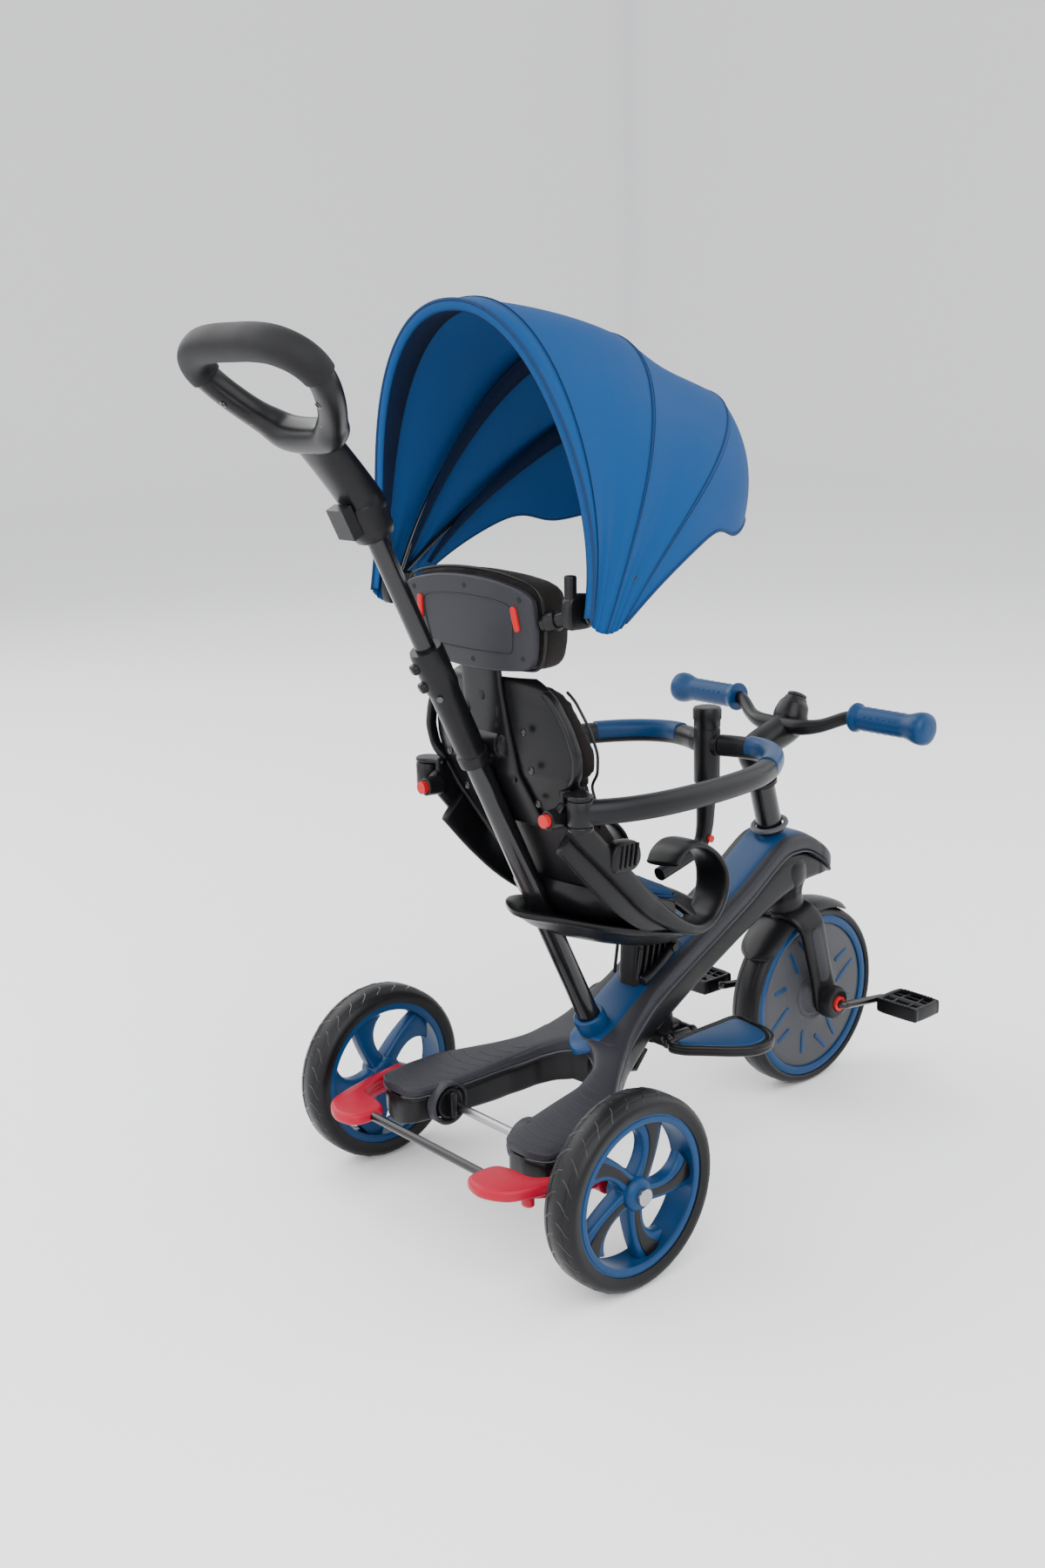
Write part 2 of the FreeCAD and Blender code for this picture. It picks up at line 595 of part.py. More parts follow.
def headrest_parts():
    half = [(62, 624), (88, 629), (100, 652), (103, 690), (96, 706), (60, 716), (30, 719)]
    panel_zone = slab_y([lean(616, -10), lean(722, -10), lean(722, -1), lean(616, -1)], -140, 140)
    panel = panel_zone.common(slab_x(both(half), -100, 100))
    pins = []
    for side in (1, -1):
        pin_line = [lean(668, -13), lean(690, -13), lean(690, -6), lean(668, -6)]
        pins.append(slab_y(pin_line, side * 76 - 4, side * 76 + 4))
    put("headrest_panel", panel.cut(pins[0]).cut(pins[1]))
    put("headrest_pins", group(pins))
    big = [(60, 622), (92, 627), (106, 654), (109, 692), (100, 714), (62, 724), (30, 727)]
    pad_zone = slab_y([lean(608, -1), lean(728, -1), lean(728, 42), lean(608, 42)], -140, 140)
    pad = pad_zone.common(slab_x(both(big), -100, 200))
    slot = slab_y([lean(600, -2), lean(712, -2), lean(712, 9), lean(600, 9)], -35, 35)
    put("headrest_pad", pad.cut(slot))
    arms = []
    clamps = []
    for side in (1, -1):
        inner = V(-6, side * 109.3, 678)
        outer = V(2, side * 146, 690)
        arms.append(rod(inner, outer, 8.5).cut(pad))
        clamp = block(-14, 24, min(side * 137, side * 151), max(side * 137, side * 151), 676, 708)
        clamps.append(clamp)
    pivots = [rod(V(HUB.x, side * 149, HUB.z), V(HUB.x, side * 173, HUB.z), 4.0) for side in (1, -1)]
    mounts = [fuse([arm, clamp, pivot]) for arm, clamp, pivot in zip(arms, clamps, pivots)]
    put("canopy_mounts", group(mounts))


def bow_points(angle, reach, width, start):
    """Corner points of a bow from its left hub over the top to its right hub."""
    tilt = math.radians(angle)
    out = V(math.sin(tilt), 0, math.cos(tilt))
    half = [(width, start), (1.02 * width, 0.55 * reach), (0.62 * width, reach)]
    line = half + [(-y, r) for y, r in reversed(half)]
    return [HUB + out * r + V(0, y, 0) for y, r in line]


def bow(name, y_hub):
    angle, reach = BOWS[name]
    inside = FABRIC + BOW_R + 2.5
    wire = bar(bow_points(angle, reach - inside, y_hub, 12.0), BOW_R, 0.45)
    eyes = []
    for side in (1, -1):
        eye = rod(V(HUB.x, side * (y_hub - 2.9), HUB.z), V(HUB.x, side * (y_hub + 2.9), HUB.z), 12.5)
        eyes.append(eye)
    shape = fuse([wire] + eyes)
    return shape.cut(rod(V(HUB.x, -200, HUB.z), V(HUB.x, 200, HUB.z), 4.0 + FIT))


def cloth_section(angle, reach, width, start):
    outer = round_path(bow_points(angle, reach, width, start), 0.45)
    inner = round_path(bow_points(angle, reach - FABRIC, width - FABRIC, start), 0.45)
    first = Part.LineSegment(outer.Vertexes[-1].Point, inner.Vertexes[-1].Point).toShape()
    last = Part.LineSegment(inner.Vertexes[0].Point, outer.Vertexes[0].Point).toShape()
    return Part.Wire(Part.__sortEdges__(outer.Edges + [first] + inner.Edges + [last]))


def cloth(from_name, to_name, trim_from, trim_to):
    a_angle, a_reach = BOWS[from_name]
    b_angle, b_reach = BOWS[to_name]
    first = cloth_section(a_angle + trim_from, a_reach, CLOTH_Y, 20.0)
    second = cloth_section(b_angle + trim_to, b_reach, CLOTH_Y, 20.0)
    return Part.makeLoft([first, second], True, True)


def canopy_parts():
    put("canopy_bow_rear", bow("rear", HUB_Y))
    put("canopy_bow_mid", bow("mid", HUB_Y + BOW_STEP))
    put("canopy_bow_front", bow("front", HUB_Y + 2 * BOW_STEP))
    put("canopy_panel_rear", cloth("rear", "mid", 0.0, -0.3))
    put("canopy_panel_front", cloth("mid", "front", 0.3, -0.3))
    put("canopy_visor", cloth("front", "hem", 0.3, 0.0))


# ---------------------------------------------------------------- footrests and small parts
def footrests():
    z = 150.0
    hinge_y = 44.0
    bracket = block(226, 262, -34, 34, 140, 190).cut(slab_y(BOTTOM_LINE + TOP_LINE, -60, 60))
    ears = []
    for side in (1, -1):
        for x in (226, 268):
            y0 = min(side * 30, side * hinge_y)
            y1 = max(side * 30, side * hinge_y)
            ears.append(block(x, x + 8, y0, y1, z - 8, z + 8))
            ears.append(rod(V(x, side * hinge_y, z), V(x + 8, side * hinge_y, z), 8.0))
    keel = block(226, 276, -30, 30, 142, 158)
    pins = [rod(V(226, side * hinge_y, z), V(276, side * hinge_y, z), 4.0) for side in (1, -1)]
    put("footrest_bracket", fuse([bracket, keel] + ears + pins))
    for side, name in ((1, "footrest_left"), (-1, "footrest_right")):
        outline = [(216, 56), (216, 72), (278, 140), (318, 131), (336, 98), (336, 56)]
        wing = slab_z([(x, side * y) for x, y in outline], z - 7, z + 7)
        knuckle = rod(V(236, side * hinge_y, z), V(266, side * hinge_y, z), 8.0)
        y0 = min(side * hinge_y, side * 58)
        y1 = max(side * hinge_y, side * 58)
        web = block(236, 266, y0, y1, z - 6, z + 6)
        pin_hole = rod(V(200, side * hinge_y, z), V(340, side * hinge_y, z), 4.0 + FIT)
        wing = fuse([wing, knuckle, web]).cut(pin_hole)
        put(name, wing)


def main():
    os.makedirs("parts", exist_ok=True)
    for side, label in ((1, "left"), (-1, "right")):
        put("tyre_%s" % label, tyre(0, side * REAR_Y, REAR_R, REAR_R, REAR_RIM_R, REAR_TYRE_W))
        put("rim_%s" % label, rear_wheel(side))
    frame()
    brake()
    steering()
    front_wheel()
    crank()
    pole()
    handle_parts()
    back = backrest()
    shell = seat(back)
    guard_parts(shell, back)
    headrest_parts()
    canopy_parts()
    footrests()


main()
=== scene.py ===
"""Children's tricycle: every visible piece, its finish and the studio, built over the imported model."""

import logging
import math
from dataclasses import dataclass
from enum import Enum
from typing import Callable, Sequence

import bmesh
import bpy
import numpy as np
from mathutils import Matrix, Vector


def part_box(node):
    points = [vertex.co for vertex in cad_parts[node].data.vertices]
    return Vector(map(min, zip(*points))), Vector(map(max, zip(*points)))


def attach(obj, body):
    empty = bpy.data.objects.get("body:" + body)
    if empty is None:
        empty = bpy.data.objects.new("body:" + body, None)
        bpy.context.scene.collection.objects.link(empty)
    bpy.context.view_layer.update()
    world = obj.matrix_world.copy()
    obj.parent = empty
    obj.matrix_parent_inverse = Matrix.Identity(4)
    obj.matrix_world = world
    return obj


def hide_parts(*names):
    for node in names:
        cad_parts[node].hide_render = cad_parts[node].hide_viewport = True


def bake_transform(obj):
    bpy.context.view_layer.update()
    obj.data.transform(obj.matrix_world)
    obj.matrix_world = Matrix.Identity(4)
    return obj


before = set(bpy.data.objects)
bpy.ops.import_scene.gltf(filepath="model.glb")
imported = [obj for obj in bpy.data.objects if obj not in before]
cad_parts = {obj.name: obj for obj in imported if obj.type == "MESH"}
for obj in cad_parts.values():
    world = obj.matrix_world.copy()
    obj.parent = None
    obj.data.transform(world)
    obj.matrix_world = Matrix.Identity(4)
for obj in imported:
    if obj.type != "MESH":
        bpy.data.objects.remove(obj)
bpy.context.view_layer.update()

Array = np.ndarray
LOG = logging.getLogger("tricycle")


def middle(node: str) -> Array:
    """Centre of a CAD node's box, in metres."""
    low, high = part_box(node)
    return (np.array(low) + np.array(high)) / 2


AXLE_X = float(middle("rear_axle")[0])


def to_metres(points: Array) -> Array:
    """Turn millimetres counted from the rear axle into metres of the shared frame."""
    return np.asarray(points, float) / 1000.0 + np.array([AXLE_X, 0.0, 0.0])


def to_mm(point: Array) -> Array:
    """Turn metres of the shared frame into millimetres counted from the rear axle."""
    return (np.asarray(point, float) - np.array([AXLE_X, 0.0, 0.0])) * 1000.0


REAR_R = float(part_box("tyre_left")[1][2]) * 500.0
REAR_Y = float(middle("tyre_left")[1]) * 1000.0
BACK_X, BACK_TOP, BACK_LEAN = 1.0, 595.0, 0.12  # the back's rear face: place and height of a point, and slope
FILLING_PRESSURE = 4.0
SETTLING_FRAMES = 20
PANEL_ROWS = 26
ARC_TRIM = 0.5  # degrees left off each end of an arch
FRONT_HUB = to_mm(middle("tyre_front"))
FRONT_R = float(FRONT_HUB[2])
CASTER = math.radians(16.5)
POLE_FOOT = np.array([149.5, 0.0, 185.0])
POLE_TOP = np.array([-141.0, 0.0, 787.0])
HUB = np.array([12.0, 0.0, 690.0])
X = np.array([1.0, 0.0, 0.0])
Y = np.array([0.0, 1.0, 0.0])
Z = np.array([0.0, 0.0, 1.0])


def on_caster(s: float, forward: float = 0.0, y: float = 0.0) -> Array:
    """Point at height s along the caster axis through the front hub, set forward of it."""
    along = np.array([-math.sin(CASTER), 0.0, math.cos(CASTER)]) * s
    ahead = np.array([math.cos(CASTER), 0.0, math.sin(CASTER)]) * forward
    return FRONT_HUB * np.array([1.0, 0.0, 1.0]) + along + ahead + Y * y


def on_pole(z: float) -> Array:
    """Point of the push pole's axis at height z."""
    return POLE_FOOT + (POLE_TOP - POLE_FOOT) * (z - POLE_FOOT[2]) / (POLE_TOP[2] - POLE_FOOT[2])


# ------------------------------------------------------------------ curves and surfaces
def spline(points: Sequence[Sequence[float]], count: int, closed: bool = False) -> Array:
    """Smooth curve through points: each span is the cubic whose end slopes are half the step between
    its neighbours (Catmull and Rom).

    Args:
        points: corner points in two or three dimensions.
        count: number of samples.
        closed: whether the last point joins the first.

    Returns:
        Samples, one row each.
    """
    p = np.asarray(points, float)
    spans = len(p) if closed else len(p) - 1
    t = np.linspace(0.0, spans, count, endpoint=not closed)
    i = np.minimum(t.astype(int), spans - 1)
    u = (t - i)[:, None]
    if closed:
        a, b, c, d = (p[(i + k) % len(p)] for k in (-1, 0, 1, 2))
    else:
        first, last = 2 * p[0] - p[1], 2 * p[-1] - p[-2]
        q = np.vstack([first, p, last])
        a, b, c, d = q[i], q[i + 1], q[i + 2], q[i + 3]
    return 0.5 * (2 * b + (c - a) * u + (2 * a - 5 * b + 4 * c - d) * u**2 + (3 * b - a - 3 * c + d) * u**3)


def even(curve: Array, count: int, closed: bool = False) -> Array:
    """The same curve with samples at equal steps of its length."""
    line = np.vstack([curve, curve[:1]]) if closed else curve
    length = np.concatenate([[0.0], np.cumsum(np.linalg.norm(np.diff(line, axis=0), axis=1))])
    t = np.linspace(0.0, length[-1], count, endpoint=not closed)
    return np.stack([np.interp(t, length, line[:, k]) for k in range(line.shape[1])], axis=1)


def oval(count: int, power: float = 2.0) -> Array:
    """Closed unit section x = cos|cos|^(2/p-1), y = sin|sin|^(2/p-1): round for 2, squarer above."""
    t = np.linspace(0.0, 2 * math.pi, count, endpoint=False)
    c, s = np.cos(t), np.sin(t)
    return np.stack([np.sign(c) * np.abs(c) ** (2 / power), np.sign(s) * np.abs(s) ** (2 / power)], axis=1)


def line_at(points: Sequence[tuple[float, float]], x: Array, soft: float = 14.0) -> Array:
    """Height of a broken line at x, averaged over a short window so that its corners turn smoothly."""
    p = np.asarray(points, float)
    order = np.argsort(p[:, 0])
    shifts = np.linspace(-soft, soft, 9)
    weight = np.cos(shifts / soft * math.pi / 2) + 0.05
    values = np.interp(x[:, None] + shifts[None, :], p[order, 0], p[order, 1])
    return (values * weight).sum(axis=1) / weight.sum()


@dataclass(frozen=True)
class Surface:
    """Points in millimetres, the faces that join them, and an optional flat pattern place in metres."""

    points: Array
    faces: list
    flat: Array | None = None

    def moved(self, change: Callable[[Array], Array]) -> "Surface":
        """The same faces on points passed through change."""
        return Surface(change(self.points), self.faces, self.flat)


def lattice(grid: Array, wrap_rows: bool = False, wrap_cols: bool = True, caps: bool = True,
            flat: Array | None = None) -> Surface:
    """Join a grid of points with four-sided faces, row to row and column to column.

    Args:
        grid: points, rows by columns by three.
        wrap_rows: whether the last row joins the first.
        wrap_cols: whether the last column joins the first.
        caps: whether the first and last rows are closed with one face each.
        flat: pattern place per point, rows by columns by two.

    Returns:
        The surface.
    """
    rows, cols = grid.shape[:2]
    index = np.arange(rows * cols).reshape(rows, cols)
    if wrap_rows:
        index = np.vstack([index, index[:1]])
    if wrap_cols:
        index = np.hstack([index, index[:, :1]])
    quads = np.stack([index[:-1, :-1], index[:-1, 1:], index[1:, 1:], index[1:, :-1]], axis=-1).reshape(-1, 4)
    faces = quads.tolist()
    if caps and wrap_cols and not wrap_rows:
        faces.append(list(range(cols))[::-1])
        faces.append(list(range((rows - 1) * cols, rows * cols)))
    return Surface(grid.reshape(-1, 3), faces, None if flat is None else flat.reshape(-1, 2))


def sweep(path: Array, half: Array | tuple[float, float], up: Array = Z, power: float = 2.0, count: int = 32,
          closed: bool = False, rounding: float = 0.0, shift: tuple[float, float] = (0.0, 0.0)) -> Surface:
    """Carry an oval section along a path: point = path + side*a*cos + normal*b*sin, where side is square to
    the path and to up, and normal is square to both.

    Args:
        path: centre line, one row each.
        half: half width and half height of the section, one pair or one pair per path row.
        up: direction that the section's height keeps to.
        power: squareness of the section.
        count: points round the section.
        closed: whether the path is a loop.
        rounding: radius of the ball-like ends added to an open path.
        shift: offset of the section along side and normal.

    Returns:
        The closed surface.
    """
    size = np.broadcast_to(np.asarray(half, float), (len(path), 2)).copy()
    if closed:
        tangent = np.roll(path, -1, axis=0) - np.roll(path, 1, axis=0)
    else:
        tangent = np.gradient(path, axis=0)
    tangent /= np.linalg.norm(tangent, axis=1)[:, None]
    side = np.cross(tangent, np.broadcast_to(up, path.shape))
    side /= np.linalg.norm(side, axis=1)[:, None]
    normal = np.cross(side, tangent)
    if rounding and not closed:
        phi = np.linspace(0.0, math.pi / 2, 6)[1:]
        grow = rounding * np.sin(phi)[:, None]
        keep = np.maximum(0.04, 1 - rounding * (1 - np.cos(phi)) / size.min())[:, None]
        start = path[:1] - tangent[:1] * grow[::-1]
        end = path[-1:] + tangent[-1:] * grow
        path = np.vstack([start, path, end])
        size = np.vstack([size[:1] * keep[::-1], size, size[-1:] * keep])
        side = np.vstack([np.repeat(side[:1], 5, 0), side, np.repeat(side[-1:], 5, 0)])
        normal = np.vstack([np.repeat(normal[:1], 5, 0), normal, np.repeat(normal[-1:], 5, 0)])
    ring = oval(count, power)
    across = side[:, None, :] * (ring[None, :, 0, None] * size[:, None, :1] + shift[0])
    upward = normal[:, None, :] * (ring[None, :, 1, None] * size[:, None, 1:] + shift[1])
    return lattice(path[:, None, :] + across + upward, wrap_rows=closed)


def lathe(profile: Sequence[tuple[float, float]], centre: Array, axis: Array = Y, count: int = 72,
          loop: bool = False, soft: int = 0) -> Surface:
    """Turn a profile of (along, radius) pairs round an axis: point = centre + axis*a + r*(u*cos + v*sin).

    Args:
        profile: pairs in order; a loop for a ring, or open from one end to the other.
        centre: point where along is 0.
        axis: direction of the axis.
        count: steps round the axis.
        loop: whether the profile closes on itself.
        soft: samples of a smooth curve through the profile, or 0 for its own corners.

    Returns:
        The closed surface.
    """
    p = spline(profile, soft, loop) if soft else np.asarray(profile, float)
    axis = axis / np.linalg.norm(axis)
    u = np.cross(axis, X if abs(axis[0]) < 0.8 else Z)
    u /= np.linalg.norm(u)
    v = np.cross(axis, u)
    t = np.linspace(0.0, 2 * math.pi, count, endpoint=False)
    spoke = np.cos(t)[:, None] * u + np.sin(t)[:, None] * v
    grid = centre + p[:, None, :1] * axis + np.maximum(p[:, None, 1:], 0.02) * spoke[None, :, :]
    return lattice(grid, wrap_rows=loop)


def plate(outline: Array, low: float, high: float, edge: float = 2.0, lay: str = "z") -> Surface:
    """Slab with rounded rims: the outline moved inwards by edge*(1-cos) while it climbs by edge*sin.

    Args:
        outline: closed curve of two-dimensional points.
        low: first level of the slab.
        high: second level.
        edge: radius of the rims.
        lay: axis that the levels are measured on; the outline holds the other two in x, y, z order.

    Returns:
        The closed surface.
    """
    step = np.roll(outline, -1, axis=0) - np.roll(outline, 1, axis=0)
    area = np.sum(outline[:, 0] * np.roll(outline[:, 1], -1) - np.roll(outline[:, 0], -1) * outline[:, 1])
    inward = np.stack([-step[:, 1], step[:, 0]], axis=1) * np.sign(area)
    inward /= np.linalg.norm(inward, axis=1)[:, None] + 1e-9
    phi = np.linspace(0.0, math.pi / 2, 5)
    inset = np.concatenate([edge * (1 - np.cos(phi))[::-1], edge * (1 - np.cos(phi))])
    level = np.concatenate([low + edge * (1 - np.sin(phi))[::-1], high - edge * (1 - np.sin(phi))])
    flat = outline[None, :, :] + inward[None, :, :] * inset[:, None, None]
    height = np.broadcast_to(level[:, None, None], flat.shape[:2] + (1,))
    order = {"x": (2, 0, 1), "y": (0, 2, 1), "z": (0, 1, 2)}[lay]
    return lattice(np.concatenate([flat, height], axis=2)[:, :, order])


def capsule(start: tuple[float, float], end: tuple[float, float], radius: float, count: int = 40) -> Array:
    """Outline of a rounded slot: two half circles joined by straight sides."""
    a, b = np.array(start, float), np.array(end, float)
    along = (b - a) / np.linalg.norm(b - a)
    turn = math.atan2(along[1], along[0])
    t = np.linspace(-math.pi / 2, math.pi / 2, count // 2)
    first = b + radius * np.stack([np.cos(t + turn), np.sin(t + turn)], axis=1)
    second = a - radius * np.stack([np.cos(t + turn), np.sin(t + turn)], axis=1)
    return np.vstack([first, second])


def turned(surface: Surface, centre: Array, degrees: float) -> Surface:
    """The surface turned about a line along y through centre: x' = x*cos + z*sin, z' = z*cos - x*sin."""
    c, s = math.cos(math.radians(degrees)), math.sin(math.radians(degrees))
    matrix = np.array([[c, 0.0, s], [0.0, 1.0, 0.0], [-s, 0.0, c]])
    return surface.moved(lambda p: (p - centre) @ matrix.T + centre)


def mirrored(surface: Surface) -> Surface:
    """The surface on the other side of the centre plane: y' = -y."""
    return surface.moved(lambda p: p * np.array([1.0, -1.0, 1.0]))


# ------------------------------------------------------------------ finishes
class Weave(Enum):
    """How a finish's surface is patterned."""

    MOULDED = "moulded"
    CLOTH = "cloth"
    SMOOTH = "smooth"


@dataclass(frozen=True)
class Finish:
    """One finish: its record slot, colours and surface detail."""

    slot: str
    colour: tuple[float, float, float]
    worn: tuple[float, float, float]
    roughness: float
    kind: Weave = Weave.MOULDED
    grain: float = 900.0
    depth: float = 0.12
    mottle: float = 0.12
    wear: float = 0.3
    metallic: float = 0.0
    coat: float = 0.0
    sheen: float = 0.0
    dust: float = 0.02
    shine: float = 0.2


def linear(r: int, g: int, b: int) -> tuple[float, float, float]:
    """Display colour from 0 to 255 as linear light."""
    values = [c / 255 for c in (r, g, b)]
    return tuple(c / 12.92 if c <= 0.04045 else ((c + 0.055) / 1.055) ** 2.4 for c in values)


class Paint(Enum):
    """The finishes of the tricycle."""

    TYRE = Finish("tyre", linear(9, 9, 11), linear(24, 24, 27), 0.40, grain=1400, depth=0.10, wear=0.25)
    BLUE = Finish("blue_plastic", linear(0, 44, 82), linear(8, 60, 102), 0.36, grain=1800, depth=0.05)
    GREY = Finish("grey_plastic", linear(32, 32, 37), linear(50, 50, 56), 0.46, grain=1100, depth=0.14)
    DARK = Finish("black_plastic", linear(9, 9, 11), linear(24, 24, 27), 0.32, grain=1200, depth=0.10)
    LIP = Finish("grey_plastic", linear(66, 67, 73), linear(88, 88, 94), 0.42, grain=1600, depth=0.05)
    RED = Finish("red_plastic", linear(150, 0, 34), linear(170, 4, 50), 0.38, grain=1800, depth=0.04)
    SIGNAL = Finish("red_plastic", linear(160, 8, 14), linear(196, 50, 54), 0.36, grain=1800, depth=0.04)
    DISC = Finish("light_plastic", linear(56, 57, 61), linear(70, 71, 76), 0.46, grain=1500, depth=0.08)
    STEEL = Finish("black_steel", linear(8, 8, 10), linear(26, 26, 29), 0.22, Weave.SMOOTH, 500, 0.02, coat=0.4)
    BARE = Finish("bare_steel", linear(150, 150, 154), linear(190, 190, 192), 0.3, Weave.SMOOTH, 700, 0.03,
                  metallic=1.0, wear=0.2)
    GRIP = Finish("soft_grip", linear(14, 14, 16), linear(30, 30, 33), 0.6, grain=1700, depth=0.14, wear=0.2)
    PAD = Finish("back_fabric", linear(18, 15, 14), linear(38, 33, 31), 0.82, Weave.CLOTH, 1500, 0.25,
                 sheen=0.05, wear=0.12, dust=0.02, shine=0.12)
    SEAT = Finish("seat_fabric", linear(0, 42, 80), linear(8, 60, 102), 0.78, Weave.CLOTH, 1500, 0.25,
                  sheen=0.05, wear=0.12, dust=0.02, shine=0.12)
    CANOPY = Finish("canopy_fabric", linear(2, 54, 102), linear(10, 66, 116), 0.62, Weave.CLOTH, 1900, 0.14,
                    wear=0.08, dust=0.01, mottle=0.08, shine=0.12)
    # Painted shade: the canopy fabric darkened for the sleeves inside the canopy along the bows.
    SHADED_CANOPY = Finish("canopy_fabric", linear(0, 14, 38), linear(2, 24, 54), 0.72, Weave.CLOTH, 1900, 0.16,
                    wear=0.08, dust=0.01, shine=0.1)
    THREAD = Finish("canopy_fabric", linear(0, 36, 72), linear(4, 48, 90), 0.7, Weave.CLOTH, 2600, 0.3,
                    wear=0.1, dust=0.02)
    FOAM = Finish("guard_foam", linear(14, 14, 17), linear(30, 30, 34), 0.38, grain=1100, depth=0.08)


class Workshop:
    """Makes the shared shader groups once, and one material per finish."""

    def __init__(self) -> None:
        """Build the shared groups."""
        self.grain = self._grain_group()
        self.wear = self._wear_group()
        self.weave = self._weave_group()
        self.dust = self._dust_group()
        self.made: dict[Paint, bpy.types.Material] = {}

    @staticmethod
    def _group(name: str, inputs: dict[str, str], outputs: dict[str, str]) -> tuple:
        """Open a shader group with named sockets.

        Args:
            name: the group's name.
            inputs: socket name to socket type.
            outputs: socket name to socket type.

        Returns:
            The group, its input node and its output node.
        """
        tree = bpy.data.node_groups.new(name, "ShaderNodeTree")
        for label, kind in inputs.items():
            tree.interface.new_socket(label, in_out="INPUT", socket_type=kind)
        for label, kind in outputs.items():
            tree.interface.new_socket(label, in_out="OUTPUT", socket_type=kind)
        return tree, tree.nodes.new("NodeGroupInput"), tree.nodes.new("NodeGroupOutput")

    @staticmethod
    def _maths(tree: bpy.types.NodeTree, operation: str, first: object, second: object) -> object:
        """Add a Math node; each operand is a socket or a number."""
        node = tree.nodes.new("ShaderNodeMath")
        node.operation = operation
        for place, value in enumerate((first, second)):
            if isinstance(value, bpy.types.NodeSocket):
                tree.links.new(value, node.inputs[place])
            else:
                node.inputs[place].default_value = value
        return node.outputs[0]

    def _grain_group(self) -> bpy.types.NodeTree:
        """Moulded surface: fine grain height, and slow patches that shift colour and gloss."""
        tree, given, out = self._group(
            "moulded grain", {"Vector": "NodeSocketVector", "Scale": "NodeSocketFloat"},
            {"Height": "NodeSocketFloat", "Patches": "NodeSocketFloat"})
        fine = tree.nodes.new("ShaderNodeTexNoise")
        fine.inputs["Detail"].default_value = 2.0
        slow = tree.nodes.new("ShaderNodeTexNoise")
        slow.inputs["Scale"].default_value = 14.0
        slow.inputs["Detail"].default_value = 4.0
        for node in (fine, slow):
            tree.links.new(given.outputs["Vector"], node.inputs["Vector"])
        tree.links.new(given.outputs["Scale"], fine.inputs["Scale"])
        tree.links.new(fine.outputs["Fac"], out.inputs["Height"])
        tree.links.new(slow.outputs["Fac"], out.inputs["Patches"])
        return tree

    def _wear_group(self) -> bpy.types.NodeTree:
        """Rubbed edges: how sharply the surface turns outwards, broken up by noise."""
        tree, given, out = self._group(
            "edge wear", {"Vector": "NodeSocketVector", "Amount": "NodeSocketFloat"}, {"Mask": "NodeSocketFloat"})
        shape = tree.nodes.new("ShaderNodeNewGeometry")
        ramp = tree.nodes.new("ShaderNodeMapRange")
        ramp.inputs["From Min"].default_value = 0.52
        ramp.inputs["From Max"].default_value = 0.62
        tree.links.new(shape.outputs["Pointiness"], ramp.inputs["Value"])
        noise = tree.nodes.new("ShaderNodeTexNoise")
        noise.inputs["Scale"].default_value = 90.0
        tree.links.new(given.outputs["Vector"], noise.inputs["Vector"])
        rubbed = self._maths(tree, "MULTIPLY", ramp.outputs["Result"], noise.outputs["Fac"])
        tree.links.new(self._maths(tree, "MULTIPLY", rubbed, given.outputs["Amount"]), out.inputs["Mask"])
        return tree

    def _weave_group(self) -> bpy.types.NodeTree:
        """Plain weave: two crossed sets of bands, threads per metre apart, added for height and shade."""
        tree, given, out = self._group(
            "plain weave", {"Vector": "NodeSocketVector", "Threads": "NodeSocketFloat"},
            {"Height": "NodeSocketFloat", "Shade": "NodeSocketFloat"})
        heights = []
        for direction in ("X", "Y"):
            wave = tree.nodes.new("ShaderNodeTexWave")
            wave.bands_direction = direction
            wave.inputs["Distortion"].default_value = 0.6
            tree.links.new(given.outputs["Vector"], wave.inputs["Vector"])
            tree.links.new(self._maths(tree, "MULTIPLY", given.outputs["Threads"], 0.16), wave.inputs["Scale"])
            heights.append(wave.outputs["Fac"])
        both = self._maths(tree, "MAXIMUM", heights[0], heights[1])
        tree.links.new(both, out.inputs["Height"])
        slub = tree.nodes.new("ShaderNodeTexNoise")
        slub.inputs["Scale"].default_value = 60.0
        slub.inputs["Detail"].default_value = 6.0
        tree.links.new(given.outputs["Vector"], slub.inputs["Vector"])
        tree.links.new(self._maths(tree, "MULTIPLY", both, slub.outputs["Fac"]), out.inputs["Shade"])
        return tree

    def _dust_group(self) -> bpy.types.NodeTree:
        """Settled dust: faces that look up, broken up by noise."""
        tree, given, out = self._group(
            "settled dust", {"Vector": "NodeSocketVector", "Amount": "NodeSocketFloat"},
            {"Mask": "NodeSocketFloat"})
        shape = tree.nodes.new("ShaderNodeNewGeometry")
        split = tree.nodes.new("ShaderNodeSeparateXYZ")
        tree.links.new(shape.outputs["Normal"], split.inputs["Vector"])
        facing = self._maths(tree, "MAXIMUM", split.outputs["Z"], 0.0)
        noise = tree.nodes.new("ShaderNodeTexNoise")
        noise.inputs["Scale"].default_value = 35.0
        noise.inputs["Detail"].default_value = 8.0
        tree.links.new(given.outputs["Vector"], noise.inputs["Vector"])
        settled = self._maths(tree, "MULTIPLY", facing, noise.outputs["Fac"])
        tree.links.new(self._maths(tree, "MULTIPLY", settled, given.outputs["Amount"]), out.inputs["Mask"])
        return tree

    def material(self, paint: Paint) -> bpy.types.Material:
        """The material of a finish, made on first use."""
        if paint not in self.made:
            self.made[paint] = self._build(paint)
        return self.made[paint]

    def _place(self, tree: bpy.types.NodeTree, group: bpy.types.NodeTree, vector: object,
               **values: float) -> object:
        """Put a shared group in a material and set its inputs."""
        node = tree.nodes.new("ShaderNodeGroup")
        node.node_tree = group
        tree.links.new(vector, node.inputs["Vector"])
        for label, value in values.items():
            node.inputs[label].default_value = value
        return node

